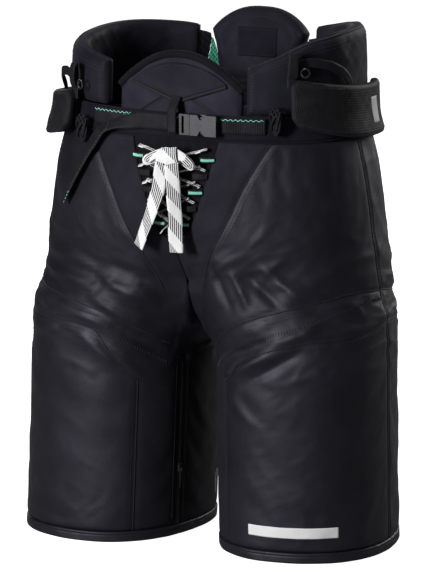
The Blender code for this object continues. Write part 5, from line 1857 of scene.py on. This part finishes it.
def cuff_fold(side, sign):
    """The webbing that comes over the cuff's top edge and tucks in again behind it."""
    knots = np.array(FOLD_PATH)
    share = np.linspace(0.0, 1.0, len(knots))
    fine = np.linspace(0.0, 1.0, 120)
    angle, lift = np.interp(fine, share, knots[:, 0]), np.interp(fine, share, knots[:, 1])
    z = curve(CUFF_HIGH[side], angle) + lift
    surface = torso_side(sign)
    base, out = on_surface(surface, angle, z, sign)
    rise = CUFF_INNER[side] + 0.0022 + 0.0016 * np.sin(np.pi * fine)
    line = smooth_path((base + out * rise[:, None])[::7], 160)
    facing = spread(out, np.linspace(0, 1, 160), fine)
    strap = ribbon(f"cuff_fold_{side}", line, facing, LOOP_WIDTH, 0.0018, "webbing", 0.18)
    attach(strap, "pants")


# ---------------------------------------------------------------- fly and lacing

# Each pair of eyelets: height and half width.
LACE_ROWS = ((0.466, 0.044), (0.447, 0.037), (0.428, 0.031), (0.409, 0.024), (0.390, 0.015))
LACE_DROP = 0.024  # from a crossing's one end to its other
MINT_TACKS = {"left": (0, 2, 4), "right": (0, 3, 4)}  # eyelets with a mint bar tack


def fly_tongue():
    """The dark knit tongue behind the lacing, with ribs that fan down."""
    z = np.linspace(0.379, WAIST_SEAM_Z - 0.0002, 60)[None, :]
    edge = torso_angle(np.maximum(curve(FLY_EDGE, z), 0.0), z)
    share = np.linspace(-1.0, 1.0, 70)[:, None]
    a = edge * share
    z = z + 0 * share
    base, out = on_surface(torso, a, z)
    rib = 0.0006 * np.cos(share * 26.0)
    outer = base + out * (-0.0032 + rib)[..., None]
    tongue = close_grids("fly_tongue_knit", outer, base - out * 0.0074, "seam_knit")
    attach(tongue, "pants", replaced=["fly_tongue"])


def lacing():
    """Crossing rows of flat lace between the eyelet loops, and the mint bar tacks."""
    rows = []
    for k, (z, half) in enumerate(LACE_ROWS):
        way = 1.0 if k % 2 == 0 else -1.0
        for cross in (-1.0, 1.0):
            t = np.linspace(-1.0, 1.0, 60)
            base, out = on_torso(t * half * 0.96, z + cross * way * t * 0.5 * LACE_DROP)
            raise_by = 0.0038 + 0.0011 * cross * np.cos(np.pi * t)
            tilted = 0.45 * out + np.array([0.0, 0.0, 0.9])
            rows.append(ribbon(f"lace_row_{k}_{'a' if cross > 0 else 'b'}", base + out * raise_by[:, None],
                               tilted, 0.0058, 0.0012, "lace_dark"))
    for piece in rows:
        attach(piece, "pants")
    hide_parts("lace_rows")
    for side, sign in SIDES:
        for k, (z, half) in enumerate(LACE_ROWS):
            eyelet(f"eyelet_{side}_{k}", sign * (half + 0.0012), z, sign, k in MINT_TACKS[side])


def eyelet(name, x, z, sign, mint):
    """A short webbing loop at the fly's edge, fastened by a mint bar tack."""
    t = np.linspace(0.0, 1.0, 40)
    base, out = on_torso(x - sign * 0.0115 + sign * 0.0170 * t, np.full(40, z))
    arch = 0.0009 + 0.0042 * np.sin(np.pi * np.clip(0.25 + t * 0.75, 0.0, 1.0))
    line = base + out * arch[:, None]
    loop = ribbon(name, line, out, 0.0070, 0.0011, "webbing", 0.12)
    attach(loop, "pants")
    if mint:
        tack = stitches(f"{name}_tack", line[6:] + out[6:] * 0.0010, out[6:], "mint",
                        length=0.0034, pitch=0.0008, radius=0.00042, turn=90.0)
        attach(tack, "pants")


def bow():
    """The knot and the two flat leaf loops, folded from the striped braid."""
    centre = np.array([0.003, -0.1345, 0.4735])
    pieces = []
    for way, reach_x, tip_drop in ((-1.0, 0.0290, -0.0105), (1.0, 0.0265, -0.0125)):
        t = np.linspace(0.0, 1.0, 90)
        angle = 2.0 * math.pi * t
        reach = 0.5 * (1.0 - np.cos(angle))
        x = way * reach_x * reach
        rise = 0.0030 * np.sin(angle) + tip_drop * reach ** 1.5
        y = -0.0026 * np.sin(np.pi * t) - 0.0018 * np.sin(angle)
        line = centre + np.stack([x, y, rise], axis=1)
        facing = np.stack([0.15 * way * np.sin(angle), -np.ones(90), 0.35 * np.sin(angle)], axis=1)
        leaf = ribbon(f"bow_loop_{'right' if way < 0 else 'left'}", line, facing, 0.0105, 0.0013, "lace")
        pieces.append(leaf)
    for name, start, end in (("left", (0.0035, -0.1375, 0.4800), (0.0080, LACE_TAIL_Y - 0.0047, 0.4630)),
                             ("right", (0.0015, -0.1380, 0.4785), (-0.0032, LACE_TAIL_Y - 0.0047, 0.4630))):
        share = np.linspace(0.0, 1.0, 40)[:, None]
        line = np.array(start) + (np.array(end) - np.array(start)) * share
        line[:, 1] -= 0.0022 * np.sin(np.pi * share[:, 0])
        facing = np.array([0.0, -1.0, 0.9]) * (1.0 - share) + np.array([0.25, -1.0, 0.0]) * share
        pieces.append(ribbon(f"bow_fold_{name}", line, facing, TAIL_WIDTH, 0.0016, "lace"))
    for piece in pieces:
        attach(piece, "pants")
    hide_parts("lace_bow")


# ---------------------------------------------------------------- everything

camera()
studio()
floor()
strap_tail()
lace_tails()
for side, sign in SIDES:
    garment, lines = skin(side, sign)
    if side == "left":
        hem_bar(garment)
    band = hem_band(side, sign)
    seam_rows(side, sign, garment, lines, band)
    thigh_guard(side, sign)
    zip_teeth(side, sign)
    hip_pad(side, sign)
    mesh_gusset(side, sign)
    cuff(side, sign)
    cuff_trims(side, sign)
    for node in (f"zip_slider_{side}", f"zip_pull_{side}"):
        finish_node(node, "metal", 0.0004)
crotch_gusset()
waistband()
back_pad()
back_hinge()
front_pad()
badge()
belt_piece("belt_right_webbing", -BELT_END_X, BUCKLE_RIGHT_END - 0.0008, "strap_right")
belt_piece("belt_left_webbing", BUCKLE_LEFT_END + 0.0008, BELT_END_X, "strap_left")
buckle()
keeper_loop()
fly_tongue()
lacing()
bow()
